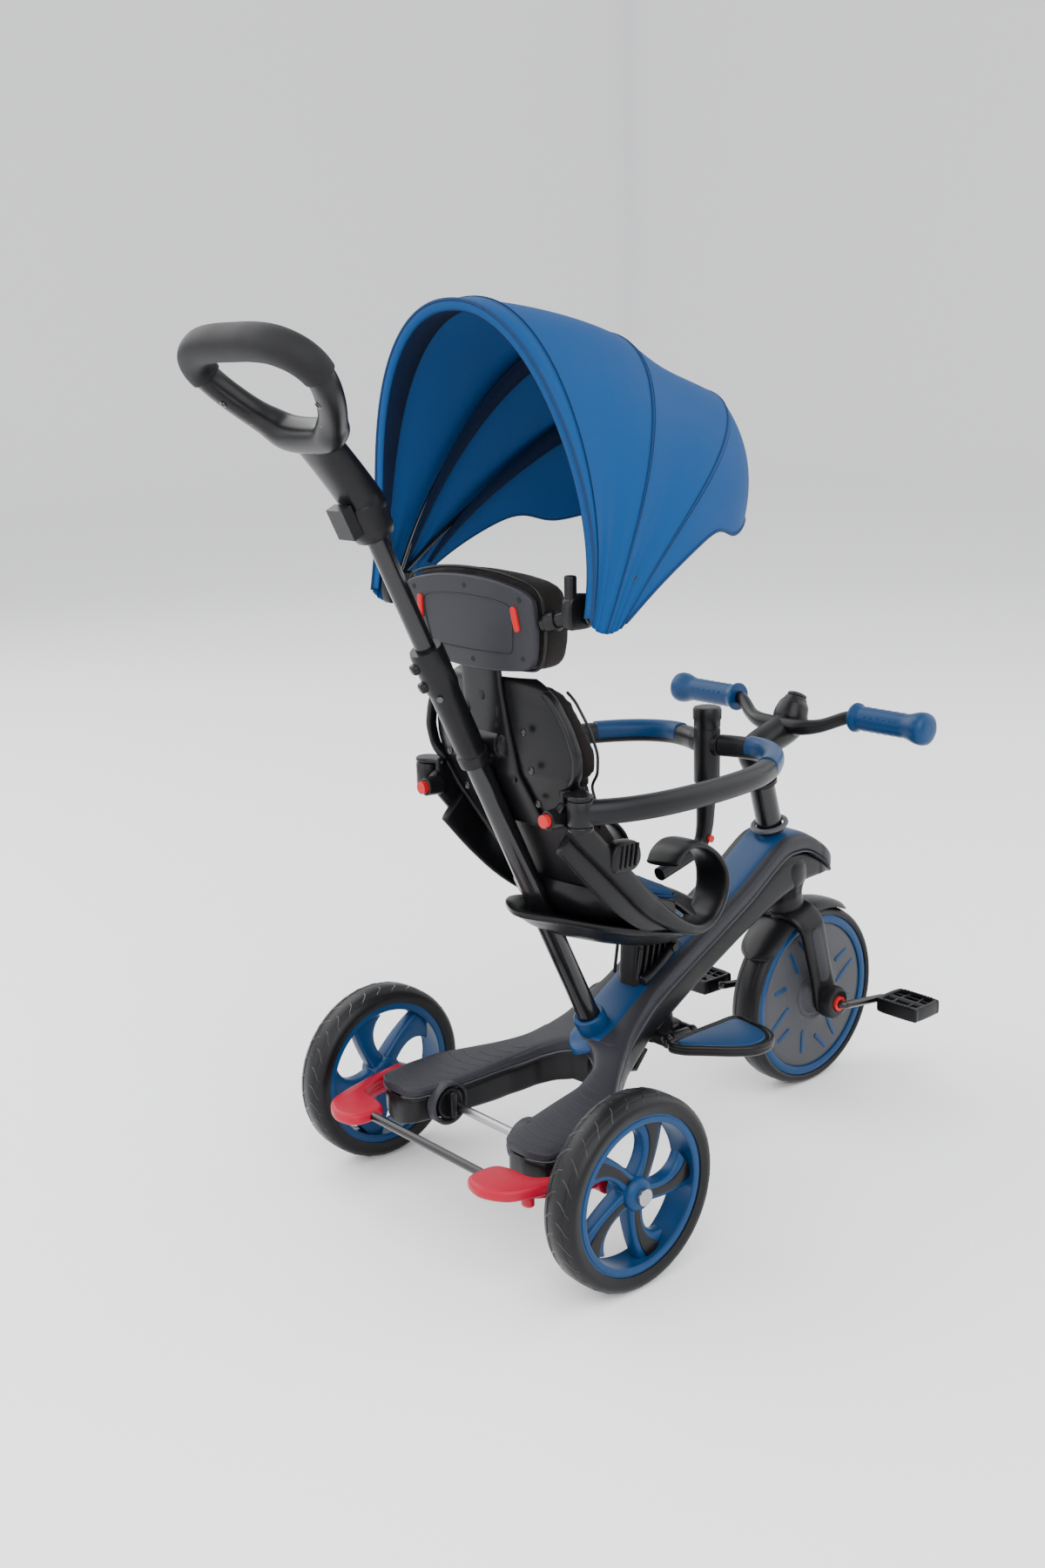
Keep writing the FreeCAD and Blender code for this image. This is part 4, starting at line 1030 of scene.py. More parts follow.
@dataclass
class FrontWheel:
    """The front wheel: tyre, blue band, pale disc with blue slots; crank and pedals."""

    def make(self) -> None:
        """Build the wheel, the crank's finish and both pedals."""
        hub = FRONT_HUB
        tread = [(-20.4, 110), (-20.9, 113), (-18, 116.8), (-12, 118.6), (-11, 117.9), (-10, 118.8), (0, 119),
                 (10, 118.8), (11, 117.9), (12, 118.6), (18, 116.8), (20.9, 113), (20.4, 110), (19, 107.6),
                 (0, 107), (-19, 107.6)]
        build("tyre_front_tread", lathe(tread, hub, Y, 140, True), Paint.TYRE, "front_wheel", ["tyre_front"], 50)
        band = [(-17, 108), (-18.8, 106), (-19.2, 100), (-18.0, 96.5), (-14, 95.5), (14, 95.5), (18.0, 96.5),
                (19.2, 100), (18.8, 106), (17, 108)]
        build("wheel_band_blue", lathe(band, hub, Y, 140, True), Paint.BLUE, "front_wheel", ["wheel_ring_front"],
              50)
        face = [(15.0, 96.4), (16.4, 94), (16.8, 88), (16.0, 60), (17.0, 40), (18.5, 36), (18.5, 32), (16.5, 29),
                (19, 24), (30, 18), (31.6, 15), (31.8, 6), (31.8, 0)]
        profile = [(-a, r) for a, r in reversed(face)] + face
        build("wheel_disc_face", lathe(profile, hub, Y, 120), Paint.DISC, "front_wheel", ["wheel_disc_front"], 30)
        marks = []
        for number in range(12):
            angle = math.radians(30 * number + 8)
            skew = (0.20, -0.06, 0.12)[number % 3]
            near = (50 + 10 * (number % 2)) * np.array([math.cos(angle), math.sin(angle)])
            far = (84 - 4 * (number % 3)) * np.array([math.cos(angle + skew), math.sin(angle + skew)])
            outline = capsule(tuple(near + hub[[0, 2]]), tuple(far + hub[[0, 2]]), 2.7, 20)
            for side in (1, -1):
                marks.append(plate(outline, *sorted((side * 14.0, side * 17.5)), 0.8, "y"))
        build("wheel_disc_slots", marks, Paint.BLUE, "front_wheel")
        repaint("crank", Paint.STEEL)
        for label in ("left", "right"):
            self._pedal(label)

    def _pedal(self, label: str) -> None:
        """A pedal: a rounded cage with cross bars, toothed rims and a spindle barrel."""
        centre = middle(f"pedal_{label}")
        spot = to_mm(centre)
        corners = np.array([(-26, -26), (-20, -32), (20, -32), (26, -26), (26, 24), (18, 32), (-18, 32), (-26, 24)])
        loop = spline(corners * np.array([0.9, 0.9]), 80, True)
        path = np.column_stack([loop + spot[:2], np.full(len(loop), spot[2])])
        shapes = [sweep(path, (3.0, 9.2), Z, 4.0, 20, closed=True)]
        shapes.append(lathe([(-30, 7.6), (-31, 6), (31, 6), (30, 7.6)], spot, Y, 28, True))
        for y in (-10.0, 10.0):
            bar = np.array([[-23.0, y, 0], [0, y * 1.25, 0], [23.0, y, 0]]) + spot
            shapes.append(sweep(spline(bar, 16), (1.8, 7.0), Z, 4.0, 16))
        for x in (-13.0, 13.0):
            bar = np.array([[x, -28.0, 0], [x * 1.1, 0, 0], [x, 28.0, 0]]) + spot
            shapes.append(sweep(spline(bar, 16), (1.6, 6.0), Z, 4.0, 16))
        for number in range(9):
            for x in (-23.4, 23.4):
                tooth = spot + np.array([x, -20 + 5 * number, 0])
                shapes.append(lathe([(-9.8, 0), (-9.8, 1.4), (9.8, 1.4), (9.8, 0)], tooth, Z, 8))
        build(f"pedal_{label}_cage", shapes, Paint.DARK, f"{label}_pedal", [f"pedal_{label}"], 40)


@dataclass
class PushPole:
    """Push pole, sleeve with its lock, and the looped handle."""

    tilt: float = math.radians(43.0)

    def make(self) -> None:
        """Build the pole and the handle."""
        for node in ("pole_lower", "pole_upper"):
            repaint(node, Paint.STEEL)
        axis = POLE_TOP - POLE_FOOT
        run = [(0, 13.2), (0, 17.0), (4, 17.6), (12, 17.2), (13, 15.4), (17, 15.2), (20, 16.0), (90, 16.2),
               (96, 17.8),
               (138, 18.2), (142, 17.0), (142, 11.2)]
        shapes = [lathe(run, on_pole(522.0), axis, 56)]
        for z in (636.0, 616.0):
            start = on_pole(z)
            path = np.vstack([start + np.array([-10.0, 3, -4]), start + np.array([-18.0, 5.5, -8.0])])
            shapes.append(sweep(path, (5.4, 6.2), Y, 3.0, 24, rounding=3))
        build("pole_sleeve_lock", shapes, Paint.DARK, "push_pole", ["pole_sleeve"], 40)
        spot = on_pole(603.0) + np.array([-14.0, -10.5, -6.0])
        build("pole_sleeve_stud", lathe([(0, 3.4), (1.4, 3.0), (1.9, 0)], spot, np.array([-0.7, -0.7, -0.3]), 20),
              Paint.LIP, "push_pole")
        self._handle()

    def plane(self, flat: Array) -> Array:
        """Points of the handle's leaning plane from (y, up the plane) pairs."""
        foot = np.array([-156.0, 0.0, 818.0])
        rise = np.array([-math.sin(self.tilt), 0.0, math.cos(self.tilt)])
        return foot + flat[:, :1] * Y + flat[:, 1:] * rise

    def _handle(self) -> None:
        """The loop: an oval section along a closed rounded line, thicker in the grip, on a tapering neck."""
        half = [(0, 180), (34, 179.5), (62, 175), (84, 163), (93, 146), (88, 126), (72, 102), (52, 82), (28, 66)]
        line = half + [(-y, s) for y, s in reversed(half[1:])]
        curve = even(spline(line, 400, True), 220, True)
        share = np.clip((curve[:, 1] - 138.0) / 12.0, 0, 1)
        share = share * share * (3 - 2 * share)
        rise = np.array([math.cos(self.tilt), 0.0, math.sin(self.tilt)])
        path = self.plane(curve)
        arms = 12.2 + 3.6 * np.exp(-((curve[:, 1] - 66) / 16.0) ** 2)
        build("handle_loop", sweep(path, np.stack([arms, arms * 1.06], axis=1), rise, 2.4, 40, closed=True),
              Paint.DARK, "push_handle", ["handle_shell"], 60)
        held = np.where(share > 0.02)[0]
        turn = held[np.argsort((held - len(curve) // 2) % len(curve))]
        grip = path[turn]
        ends = np.linspace(-1, 1, len(grip))
        fat = 16.4 - 1.6 * np.abs(ends) ** 6
        build("handle_grip_sleeve", sweep(grip, np.stack([fat, fat * 1.03], axis=1), rise, 2.3, 44, rounding=1.5),
              Paint.GRIP, "push_handle", ["handle_grip"], 60)
        seam = sweep(grip, (0.9, 0.9), rise, 2.0, 8, shift=(0.0, 16.9))
        build("handle_grip_seam", seam, Paint.DARK, "push_handle")
        low = on_pole(768.0)
        top = self.plane(np.array([[0.0, 74.0]]))[0]
        line = spline([low, on_pole(790.0), on_pole(806.0) + X * 1.5, self.plane(np.array([[0.0, 34.0]]))[0], top],
                      44)
        t = np.linspace(0, 1, 44)
        wide = np.interp(t, [0, 0.05, 0.4, 0.5, 0.8, 1.0], [18.5, 20.5, 21.5, 20.5, 25, 33])
        deep = np.interp(t, [0, 0.05, 0.4, 0.5, 0.8, 1.0], [18.5, 20.5, 21.5, 19.5, 17, 13])
        neck = sweep(line, np.stack([wide, deep], axis=1), X, 2.5, 44, rounding=2)
        build("handle_neck", neck, Paint.DARK, "push_handle", sharp=60)
        repaint("handle_latch", Paint.DARK)
        screws = []
        for y, s in ((78, 116), (-78, 116), (58, 88), (-58, 88), (34, 70), (-34, 70)):
            spot = self.plane(np.array([[y, s]]))[0] - rise * 12.0
            screws.append(lathe([(0, 3.6), (1.2, 3.6), (1.4, 2.4), (0.4, 1.6), (0.4, 0)], spot, -rise, 20))
        build("handle_screws", screws, Paint.STEEL, "push_handle")


def back_face(z: Array | float, depth: float = 0.0) -> Array | float:
    """Where the back's rear face is at height z, moved forward by depth: upright above, following the pole
    below."""
    upright = lean_face(z)
    clear = -141.0 + 0.4825 * (787.0 - z) + 19.0
    return np.maximum(upright, clear) + depth


def lean_face(z: Array | float) -> Array | float:
    """Where the headrest's rear face is at height z."""
    return BACK_X - BACK_LEAN * (z - BACK_TOP)


@dataclass
class Seat:
    """Tray, bucket, side strips with thigh loops, cushion, clamp and buckle."""

    def make(self) -> None:
        """Build the seat's pieces."""
        self._tray()
        self._strips()
        self._cushion()
        self._clamp()
        self._buckle()

    @staticmethod
    def slope(x: Array) -> Array:
        """Height of the tray's middle line at x."""
        return line_at(((30, 341), (60, 337), (140, 315), (240, 288), (280, 278)), x, 12.0)

    def _bowl(self, outline: Array, centre: Array, steps: Sequence[tuple[float, float]]) -> Surface:
        """Outline shrunk towards its centre by the first number of each step and raised over the tray by the
        second."""
        scale = np.array([s for s, _ in steps])[:, None, None]
        flat = centre + (outline - centre)[None] * scale
        lift = np.array([h for _, h in steps])[:, None]
        z = self.slope(flat[:, :, 0].ravel()).reshape(flat.shape[:2]) + lift
        return lattice(np.concatenate([flat, z[:, :, None]], axis=2))

    def _tray(self) -> None:
        """The tray with its rolled rim and belly, and the bucket that stands on it."""
        half = [(37, 0), (50, 30), (74, 58), (104, 80), (150, 92), (205, 88), (250, 66), (272, 32), (277, 0)]
        outline = even(spline(half + [(x, -y) for x, y in reversed(half[1:-1])], 400, True), 120, True)
        centre = np.array([158.0, 0.0])
        rim = [(0.3, 4), (0.9, 4.5), (0.975, 6.5), (1.0, 5.5), (1.005, 2.5), (0.985, -1.0), (0.95, -2.5),
               (0.88, -7),
               (0.78, -14), (0.62, -20), (0.4, -22.5), (0.12, -23)]
        build("seat_tray_dish", self._bowl(outline, centre, rim), Paint.DARK, "frame", ["seat_tray"], 60)
        ring = oval(96, 2.8) * np.array([78.0, 82.0]) + np.array([150.0, 0.0])
        bowl = [(0.66, 2), (0.8, 6), (0.92, 16), (0.985, 28), (1.0, 38), (0.985, 45), (0.94, 47), (0.5, 46)]
        build("seat_bucket", self._bowl(ring, np.array([150.0, 0.0]), bowl), Paint.DARK, "frame", ["seat_shell"],
              60)

    def _strips(self) -> None:
        """Side strips: a flat oval section down each side, that turns on edge and curls round the thigh."""
        line = [(10, -103, 484), (24, -103, 470), (54, -103, 439), (87, -103, 405), (112, -102, 380),
                (136, -100, 357), (166, -96, 333), (196, -91, 314), (224, -86, 305), (248, -82, 311),
                (264, -80, 331), (268, -79, 356), (258, -78, 379), (238, -77, 396), (214, -77, 402),
                (194, -79, 396), (184, -81, 386)]
        path = even(spline(line, 240), 120)
        t = np.linspace(0, 1, 120)
        tall = np.interp(t, [0, 0.1, 0.4, 0.55, 0.75, 1], [10, 13.5, 12, 8.5, 5.2, 4.0])
        deep = np.interp(t, [0, 0.1, 0.4, 0.55, 0.75, 1], [5.5, 7, 11, 19, 25, 23])
        strip = sweep(path, np.stack([tall, deep], axis=1), Y, 2.8, 36, rounding=3)
        lip = spline([(246, -84, 309), (254, -45, 316), (257, 0, 319), (254, 45, 316), (246, 84, 309)], 40)
        front = sweep(lip, (15.0, 5.0), Z, 3.0, 28, rounding=2)
        wall = spline([(30, -94, 448), (70, -96, 404), (110, -95, 366), (150, -90, 338), (190, -84, 322)], 40)
        skirt = sweep(wall, (20.0, 5.5), Y, 3.0, 28, rounding=2)
        build("seat_side_strips", [strip, mirrored(strip), front, skirt, mirrored(skirt)], Paint.DARK, "frame",
              sharp=60)

    def _cushion(self) -> None:
        """The seat cushion: a squarish pillow, crowned, swollen by cloth pressure."""
        ring = oval(80, 3.4)
        rise = np.radians(np.linspace(-80, 80, 9))
        keep = 1 - 0.16 * (1 - np.cos(rise))
        x = 172.0 + 58.0 * ring[None, :, 0] * keep[:, None]
        y = 78.0 * ring[None, :, 1] * keep[:, None]
        z = self.slope(x.ravel()).reshape(x.shape) + 44.0 + 9.0 * np.sin(rise)[:, None]
        piece = build("seat_cushion_pad", lattice(np.stack([x, y, z], axis=2)), Paint.SEAT, "frame",
                      ["seat_cushion"])
        puff(piece, 6.0, 5.0)
        ring = oval(80, 3.4) * np.array([59.0, 79.5])
        xs = 172.0 + ring[:, 0]
        welt = np.column_stack([xs, ring[:, 1], self.slope(xs) + 44.0])
        build("seat_cushion_piping", sweep(welt, (1.7, 1.7), Z, 2.0, 12, closed=True), Paint.THREAD, "frame")

    def _clamp(self) -> None:
        """The clamp under the tray: ribbed block, hinge pin and lever."""
        post = sweep(np.array([[232.0, 0, 214], [234.0, 0, 250], [236.0, 0, 286]]), (17.0, 26.0), X, 5.0, 40)
        ribs = [sweep(np.array([[206.0 + k * 11, -19.5, 226 + 5.5 * k], [212.0 + k * 11, -19.5, 262 + 5.5 * k]]),
                      (1.8, 1.8), X, 3.0, 12, rounding=1) for k in range(5)]
        pin = lathe([(-33, 2), (-33, 5), (-30, 5.6), (-30, 3), (-10, 3)], np.array([256.0, 0, 257]), Y, 28)
        build("seat_clamp_block", [post, pin] + ribs + [mirrored(rib) for rib in ribs], Paint.DARK, "frame",
              ["seat_column"], 50)
        line = spline([(209, -25.5, 226), (220, -26, 231), (240, -26, 243), (257, -25.5, 256), (262, -25.5, 262)],
                      30)
        wide = np.interp(np.linspace(0, 1, 30), [0, 0.3, 0.8, 1], [6.5, 5.0, 6.0, 7.5])
        lever = sweep(line, np.stack([wide, np.full(30, 5.0)], axis=1), Y, 3.0, 28, rounding=2)
        build("seat_clamp_lever", lever, Paint.DARK, "clamp_lever", ["seat_lever"], 60)

    def _buckle(self) -> None:
        """The harness buckle: two rounded plates with ribs, and webbing running under the strip."""
        centre = np.array([94.0, -106.0, 419.0])
        box = np.array([(76, 408), (84, 402), (108, 402), (118, 414), (112, 432), (88, 436), (77, 426)])
        shell = plate(spline(box, 60, True), -115.0, -100.0, 4.0, "y")
        ribs = [sweep(np.array([[86.0 + 7 * k, -115.5, 408], [88.0 + 7 * k, -116, 420],
                                [90.0 + 7 * k, -115.5, 431]]),
                      (1.6, 1.6), Y, 2.5, 12, rounding=1) for k in range(4)]
        build("harness_buckle", [shell] + ribs, Paint.DARK, "frame", ["harness"], 50)
        run = spline([centre + (-10, 10, 10), centre + (-22, 14, 30), centre + (-40, 26, 64),
                      centre + (-52, 40, 92)], 40)
        build("harness_webbing", sweep(run, (12.0, 1.0), Y, 5.0, 20), Paint.PAD, "frame")


@dataclass
class Backrest:
    """The back: grey shell and spine behind, padded bolster in front, and the recline drum."""

    width: tuple = ((352, 58), (380, 72), (410, 87), (440, 97), (470, 104), (503, 106), (530, 113), (552, 111),
                    (590, 95), (612, 66))
    padding: tuple = ((380, 58), (410, 74), (440, 88), (470, 101), (503, 107), (516, 121), (540, 125), (566, 116),
                      (594, 98), (612, 70))

    def blade(self, levels: Array, widths: tuple, depth: float, wrap: float, thick: float, power: float) -> Surface:
        """Loft of curved bars, one per level: across y the bar bends forward by wrap*|share|^2.4.

        Args:
            levels: heights of the bars.
            widths: half width against height.
            depth: how far the bar's middle stands in front of the rear face.
            wrap: forward bend at the sides.
            thick: half thickness.
            power: squareness of the bar's section.

        Returns:
            The closed surface.
        """
        ring = oval(72, power)
        tip = np.minimum((levels - levels[0]) / 10.0, (levels[-1] - levels) / 10.0)
        ease = np.sqrt(np.clip(1 - (1 - np.clip(tip, 0, 1)) ** 2, 0.04, 1))
        half = line_at(widths, levels, 9.0) - 8.0 * (1 - ease)
        y = half[:, None] * ring[None, :, 0]
        x = back_face(levels)[:, None] + depth + wrap * np.abs(ring[None, :, 0]) ** 2.4
        x = x + thick * ease[:, None] * ring[None, :, 1]
        z = np.broadcast_to(levels[:, None], y.shape)
        return lattice(np.stack([x, y, z], axis=2))

    def make(self) -> None:
        """Build the back's pieces."""
        levels = np.linspace(366.0, 613.0, 80)
        shell = self.blade(levels, self.width, 5.0, 16.0, 4.6, 5.0)
        z = np.linspace(452.0, 690.0, 60)
        wide = np.interp(z, [452, 500, 560, 600, 690], [50, 44, 35, 31, 30])
        path = np.column_stack([back_face(z, -0.6), np.zeros(60), z])
        spine = sweep(path, np.stack([wide, np.full(60, 4.2)], axis=1), X, 4.0, 44, rounding=2)
        build("back_shell_moulding", [shell, spine], Paint.DARK, "frame", ["back_shell"], 60)
        bolster = self.blade(np.linspace(384.0, 610.0, 70), self.padding, 25.0, 12.0, 11.5, 2.6)
        pad = build("back_bolster", bolster, Paint.PAD, "frame", ["back_pad"])
        puff(pad, 6.0, 5.0)
        rims = []
        for side in (1, -1):
            zz = np.linspace(396.0, 600.0, 60)
            edge = line_at(self.padding, zz, 9.0) + 0.5
            line = np.column_stack([back_face(zz) + 25.0 + 12.0 * 0.95, edge * side, zz])
            rims.append(sweep(line, (1.6, 1.6), X, 2.0, 12, rounding=1))
            inner = np.column_stack([back_face(zz) + 14.0, (edge - 7) * side, zz])
            rims.append(sweep(inner, (4.0, 6.0), X, 3.0, 20, rounding=2))
        build("back_bolster_piping", rims, Paint.DARK, "frame")
        drum = [(-31, 4), (-31, 13), (-29, 16.5), (-24, 17.6), (-23, 15.6), (-20, 15.6), (-19, 17.8), (19, 17.8),
                (20, 15.6), (23, 15.6), (24, 17.6), (29, 16.5), (31, 13), (31, 4)]
        build("recline_drum", lathe(drum, np.array([14.0, 0.0, 540.0]), Y, 64), Paint.DARK, "frame", sharp=40)
        # Dark plates set into the spine's openings: painted shade inside the holes.
        hole_shades = []
        for y, z0, radius, tall in ((0, 595, 5.0, 7), (24, 578, 2.4, 9), (-24, 578, 2.4, 9), (36, 508, 2.2, 10),
                                    (-36, 508, 2.2, 10), (20, 562, 2.2, 3), (-20, 562, 2.2, 3)):
            x0 = float(back_face(float(z0), -4.9))
            outline = capsule((y, z0 - tall / 2), (y, z0 + tall / 2), radius, 24)
            hole_shades.append(plate(outline, x0 - 0.2, x0 + 2.5, 0.4, "x"))
        build("spine_opening_shades", hole_shades, Paint.TYRE, "frame")
        screws = [lathe([(0, 4.2), (1.6, 3.8), (2.0, 2.0), (1.0, 1.2), (1.0, 0)],
                        np.array([float(back_face(z0, -3.0)), y, z0]), -X, 20)
                  for y, z0 in ((60, 560), (-60, 560), (66, 520), (-66, 520), (58, 480), (-58, 480))]
        build("back_screws", screws, Paint.STEEL, "frame")


@dataclass
class GuardRing:
    """The guard ring: two hinged padded arms, their lugs and buttons, and the front post."""

    level: float = 483.0

    def make(self) -> None:
        """Build the ring's pieces."""
        line = [(20, 124), (44, 139), (74, 151), (110, 158), (160, 160.5), (215, 157.5), (262, 149), (308, 129),
                (340, 104), (356, 74), (355, 44), (347, 19)]
        curve = even(spline(line, 300), 160)
        for side, label in ((1, "left"), (-1, "right")):
            path = np.column_stack([curve[:, 0], curve[:, 1] * side, np.full(160, self.level)])
            t = np.linspace(0, 1, 160)
            wide = np.interp(t, [0, 0.05, 0.12, 1], [12.0, 12.0, 11.8, 11.6])
            arm = sweep(path[2:], np.stack([wide, wide * 1.1], axis=1)[2:], Z, 2.4, 40, rounding=1.0)
            knuckle = lathe([(-13.2, 5.2), (-13.2, 12.6), (-12, 13.4), (12, 13.4), (13.2, 12.6), (13.2, 5.2)],
                            np.array([20.0, side * 124.0, self.level]), Z, 44)
            build(f"guard_arm_{label}", [arm, knuckle], Paint.FOAM, f"guard_arm_{label}", [f"guard_{label}"], 60)
            pad = path[104:146]
            build(f"guard_pad_{label}", sweep(pad, (12.3, 12.7), Z, 2.4, 40, rounding=1.5, shift=(0.0, 1.9)),
                  Paint.BLUE, f"guard_arm_{label}", sharp=60)
        self._lugs()
        self._post()

    def _lugs(self) -> None:
        """Forked lugs that hold the arms, with a boss for each release button."""
        shapes = []
        for side in (1, -1):
            spot = np.array([20.0, side * 124.0, self.level])
            for low, high in ((-19.0, -13.8), (13.8, 19.0)):
                shapes.append(lathe([(low, 0), (low, 12.4), (low + 1.2, 13.4), (high - 1.2, 13.4), (high, 12.4),
                                     (high, 0)], spot, Z, 44))
                web = np.array([[20.0, side * 122.0, self.level + (low + high) / 2],
                                [26.0, side * 112.0, self.level + (low + high) / 2],
                                [30.0, side * 99.0, self.level + (low + high) / 2]])
                shapes.append(sweep(web, (13.0, 2.6), Z, 4.0, 28))
            cheek = np.array([[30.0, side * 101.5, self.level - 19], [30.0, side * 101.5, self.level + 19]])
            shapes.append(sweep(cheek, (16.0, 4.2), Y, 4.0, 32, rounding=1.5))
            boss = np.array([-4.0, side * 100.0, 475.0])
            shapes.append(lathe([(0, 7.2), (-0.6, 8.4), (0.4, 10), (19, 11.2), (19, 7.2)], boss, X, 40, True))
            repaint(f"side_button_{'left' if side > 0 else 'right'}", Paint.SIGNAL)
        build("guard_lug_forks", shapes, Paint.DARK, "frame", ["guard_lugs"], 50)

    def _post(self) -> None:
        """The front post: cap, sleeve with a seam, tapering stalk, and its foot curving back to the seat."""
        body = [(436, 11.6), (436, 15.2), (438, 15.6), (500, 15.8), (502, 15.0), (504, 15.8), (512.6, 15.8),
                (513, 17), (524, 17.2), (527, 15.8), (528, 12), (527.2, 4), (527.2, 0)]
        top = lathe(body, np.array([343.0, 0.0, 0.0]), Z, 56)
        line = spline([(343, 0, 440), (341.5, 0, 408), (339, 0, 378), (330, 0, 358), (308, 0, 350), (262, 0, 338)],
                      60)
        thick = np.interp(np.linspace(0, 1, 60), [0, 0.1, 0.5, 1], [12, 11.6, 8.8, 8.2])
        stalk = sweep(line, np.stack([thick, thick], axis=1), Y, 2.3, 36)
        ears = sweep(np.array([[345.0, -18.4, self.level], [343.0, 0, self.level], [345.0, 18.4, self.level]]),
                     (11.0, 12.4), Z, 2.6, 36, rounding=1.0)
        build("guard_post_stalk", [top, stalk, ears], Paint.DARK, "frame", ["guard_post"], 45)
        repaint("post_button", Paint.SIGNAL)


@dataclass
class Headrest:
    """The headrest: grey rear panel, pad, pins, and the arms that carry the canopy."""

    def outline(self, half: Sequence[tuple[float, float]]) -> Array:
        """Closed (y, z) outline from its right half, bottom to top."""
        line = list(half) + [(-y, z) for y, z in reversed(half)]
        return even(spline(line, 500, True), 120, True)

    def leaned(self, surface: Surface) -> Surface:
        """Lean a surface built upright: x' = x + rear face at z."""
        return surface.moved(lambda p: p + X * np.asarray(lean_face(p[:, 2]))[:, None])

    def make(self) -> None:
        """Build the headrest's pieces."""
        rear = self.outline([(20, 621), (62, 625), (87, 631), (98, 652), (102, 690), (94, 706), (60, 715),
                             (22, 719)])
        panel = self.leaned(plate(rear, -10.0, -0.6, 3.4, "x"))
        build("headrest_rear_panel", panel, Paint.GREY, "headrest", ["headrest_panel"], 60)
        # A dark cord along the inset's outline: painted shade of the groove round the inset.
        inset = self.outline([(20, 641), (58, 643), (66, 652), (70, 684), (62, 694), (24, 698)])
        middle_line = np.column_stack([np.full(len(inset), -10.1), inset])
        groove = self.leaned(sweep(middle_line, (0.7, 0.7), X, 2.0, 8, closed=True))
        build("headrest_groove_shade", groove, Paint.TYRE, "headrest")
        front = self.outline([(20, 621), (60, 625), (90, 630), (103, 656), (106, 690), (98, 711), (62, 721),
                              (22, 725)])
        pad = build("headrest_cushion", self.leaned(plate(front, 1.0, 39.0, 11.0, "x")), Paint.PAD, "headrest",
                    ["headrest_pad"])
        puff(pad, 5.0, 3.0)
        welt = np.column_stack([np.full(len(front), 1.2), front])
        build("headrest_piping", self.leaned(sweep(welt, (1.7, 1.7), X, 2.0, 12, closed=True)), Paint.DARK,
              "headrest")
        pins, screws = [], []
        for side in (1, -1):
            slot = capsule((side * 77, 671), (side * 74.5, 689), 3.9, 30)
            pins.append(self.leaned(plate(slot, -13.0, -7.0, 1.6, "x")))
        for y, z in ((84, 700), (-84, 700), (0, 708), (0, 631), (80, 640), (-80, 640)):
            screws.append(self.leaned(lathe([(0, 3.0), (0.5, 2.8), (0.6, 1.6), (-0.6, 1.2), (-0.6, 0)],
                                            np.array([-9.9, y, z]), -X, 20)))
        build("headrest_red_pins", pins, Paint.SIGNAL, "headrest", ["headrest_pins"])
        build("headrest_screws", screws, Paint.TYRE, "headrest")
        self._arms()

    def _arms(self) -> None:
        """Stub tubes with collars, clamp blocks and pivot bosses on both sides."""
        shapes = []
        for side in (1, -1):
            line = np.array([[-6.0, side * 103.0, 677.0], [-2.0, side * 124.0, 683.0], [2.0, side * 142.0, 690.0]])
            shapes.append(sweep(spline(line, 20), (8.3, 8.3), Z, 2.0, 28))
            collar = np.array([[-5.0, side * 110.0, 679.0], [-3.0, side * 119.0, 681.5]])
            shapes.append(sweep(collar, (10.4, 10.4), Z, 2.4, 28, rounding=1.5))
            block = spline([(-14, 678), (-4, 675), (14, 676), (24, 684), (23, 704), (10, 709), (-8, 708),
                            (-15, 700)],
                           60, True)
            shapes.append(plate(block, *sorted((side * 137.0, side * 151.0)), 3.0, "y"))
            post = np.array([[-8.0, side * 144.0, 700.0], [-8.0, side * 144.0, 726.0]])
            shapes.append(sweep(post, (6.0, 5.0), X, 3.0, 24, rounding=2))
            shapes.append(lathe([(149, 0), (149, 9), (151, 10), (152, 4.4), (172, 4.4), (172.5, 0)],
                                HUB * (1, 0, 1),
                                Y * side, 36))
        build("canopy_arm_clamps", shapes, Paint.DARK, "headrest", ["canopy_mounts"], 50)


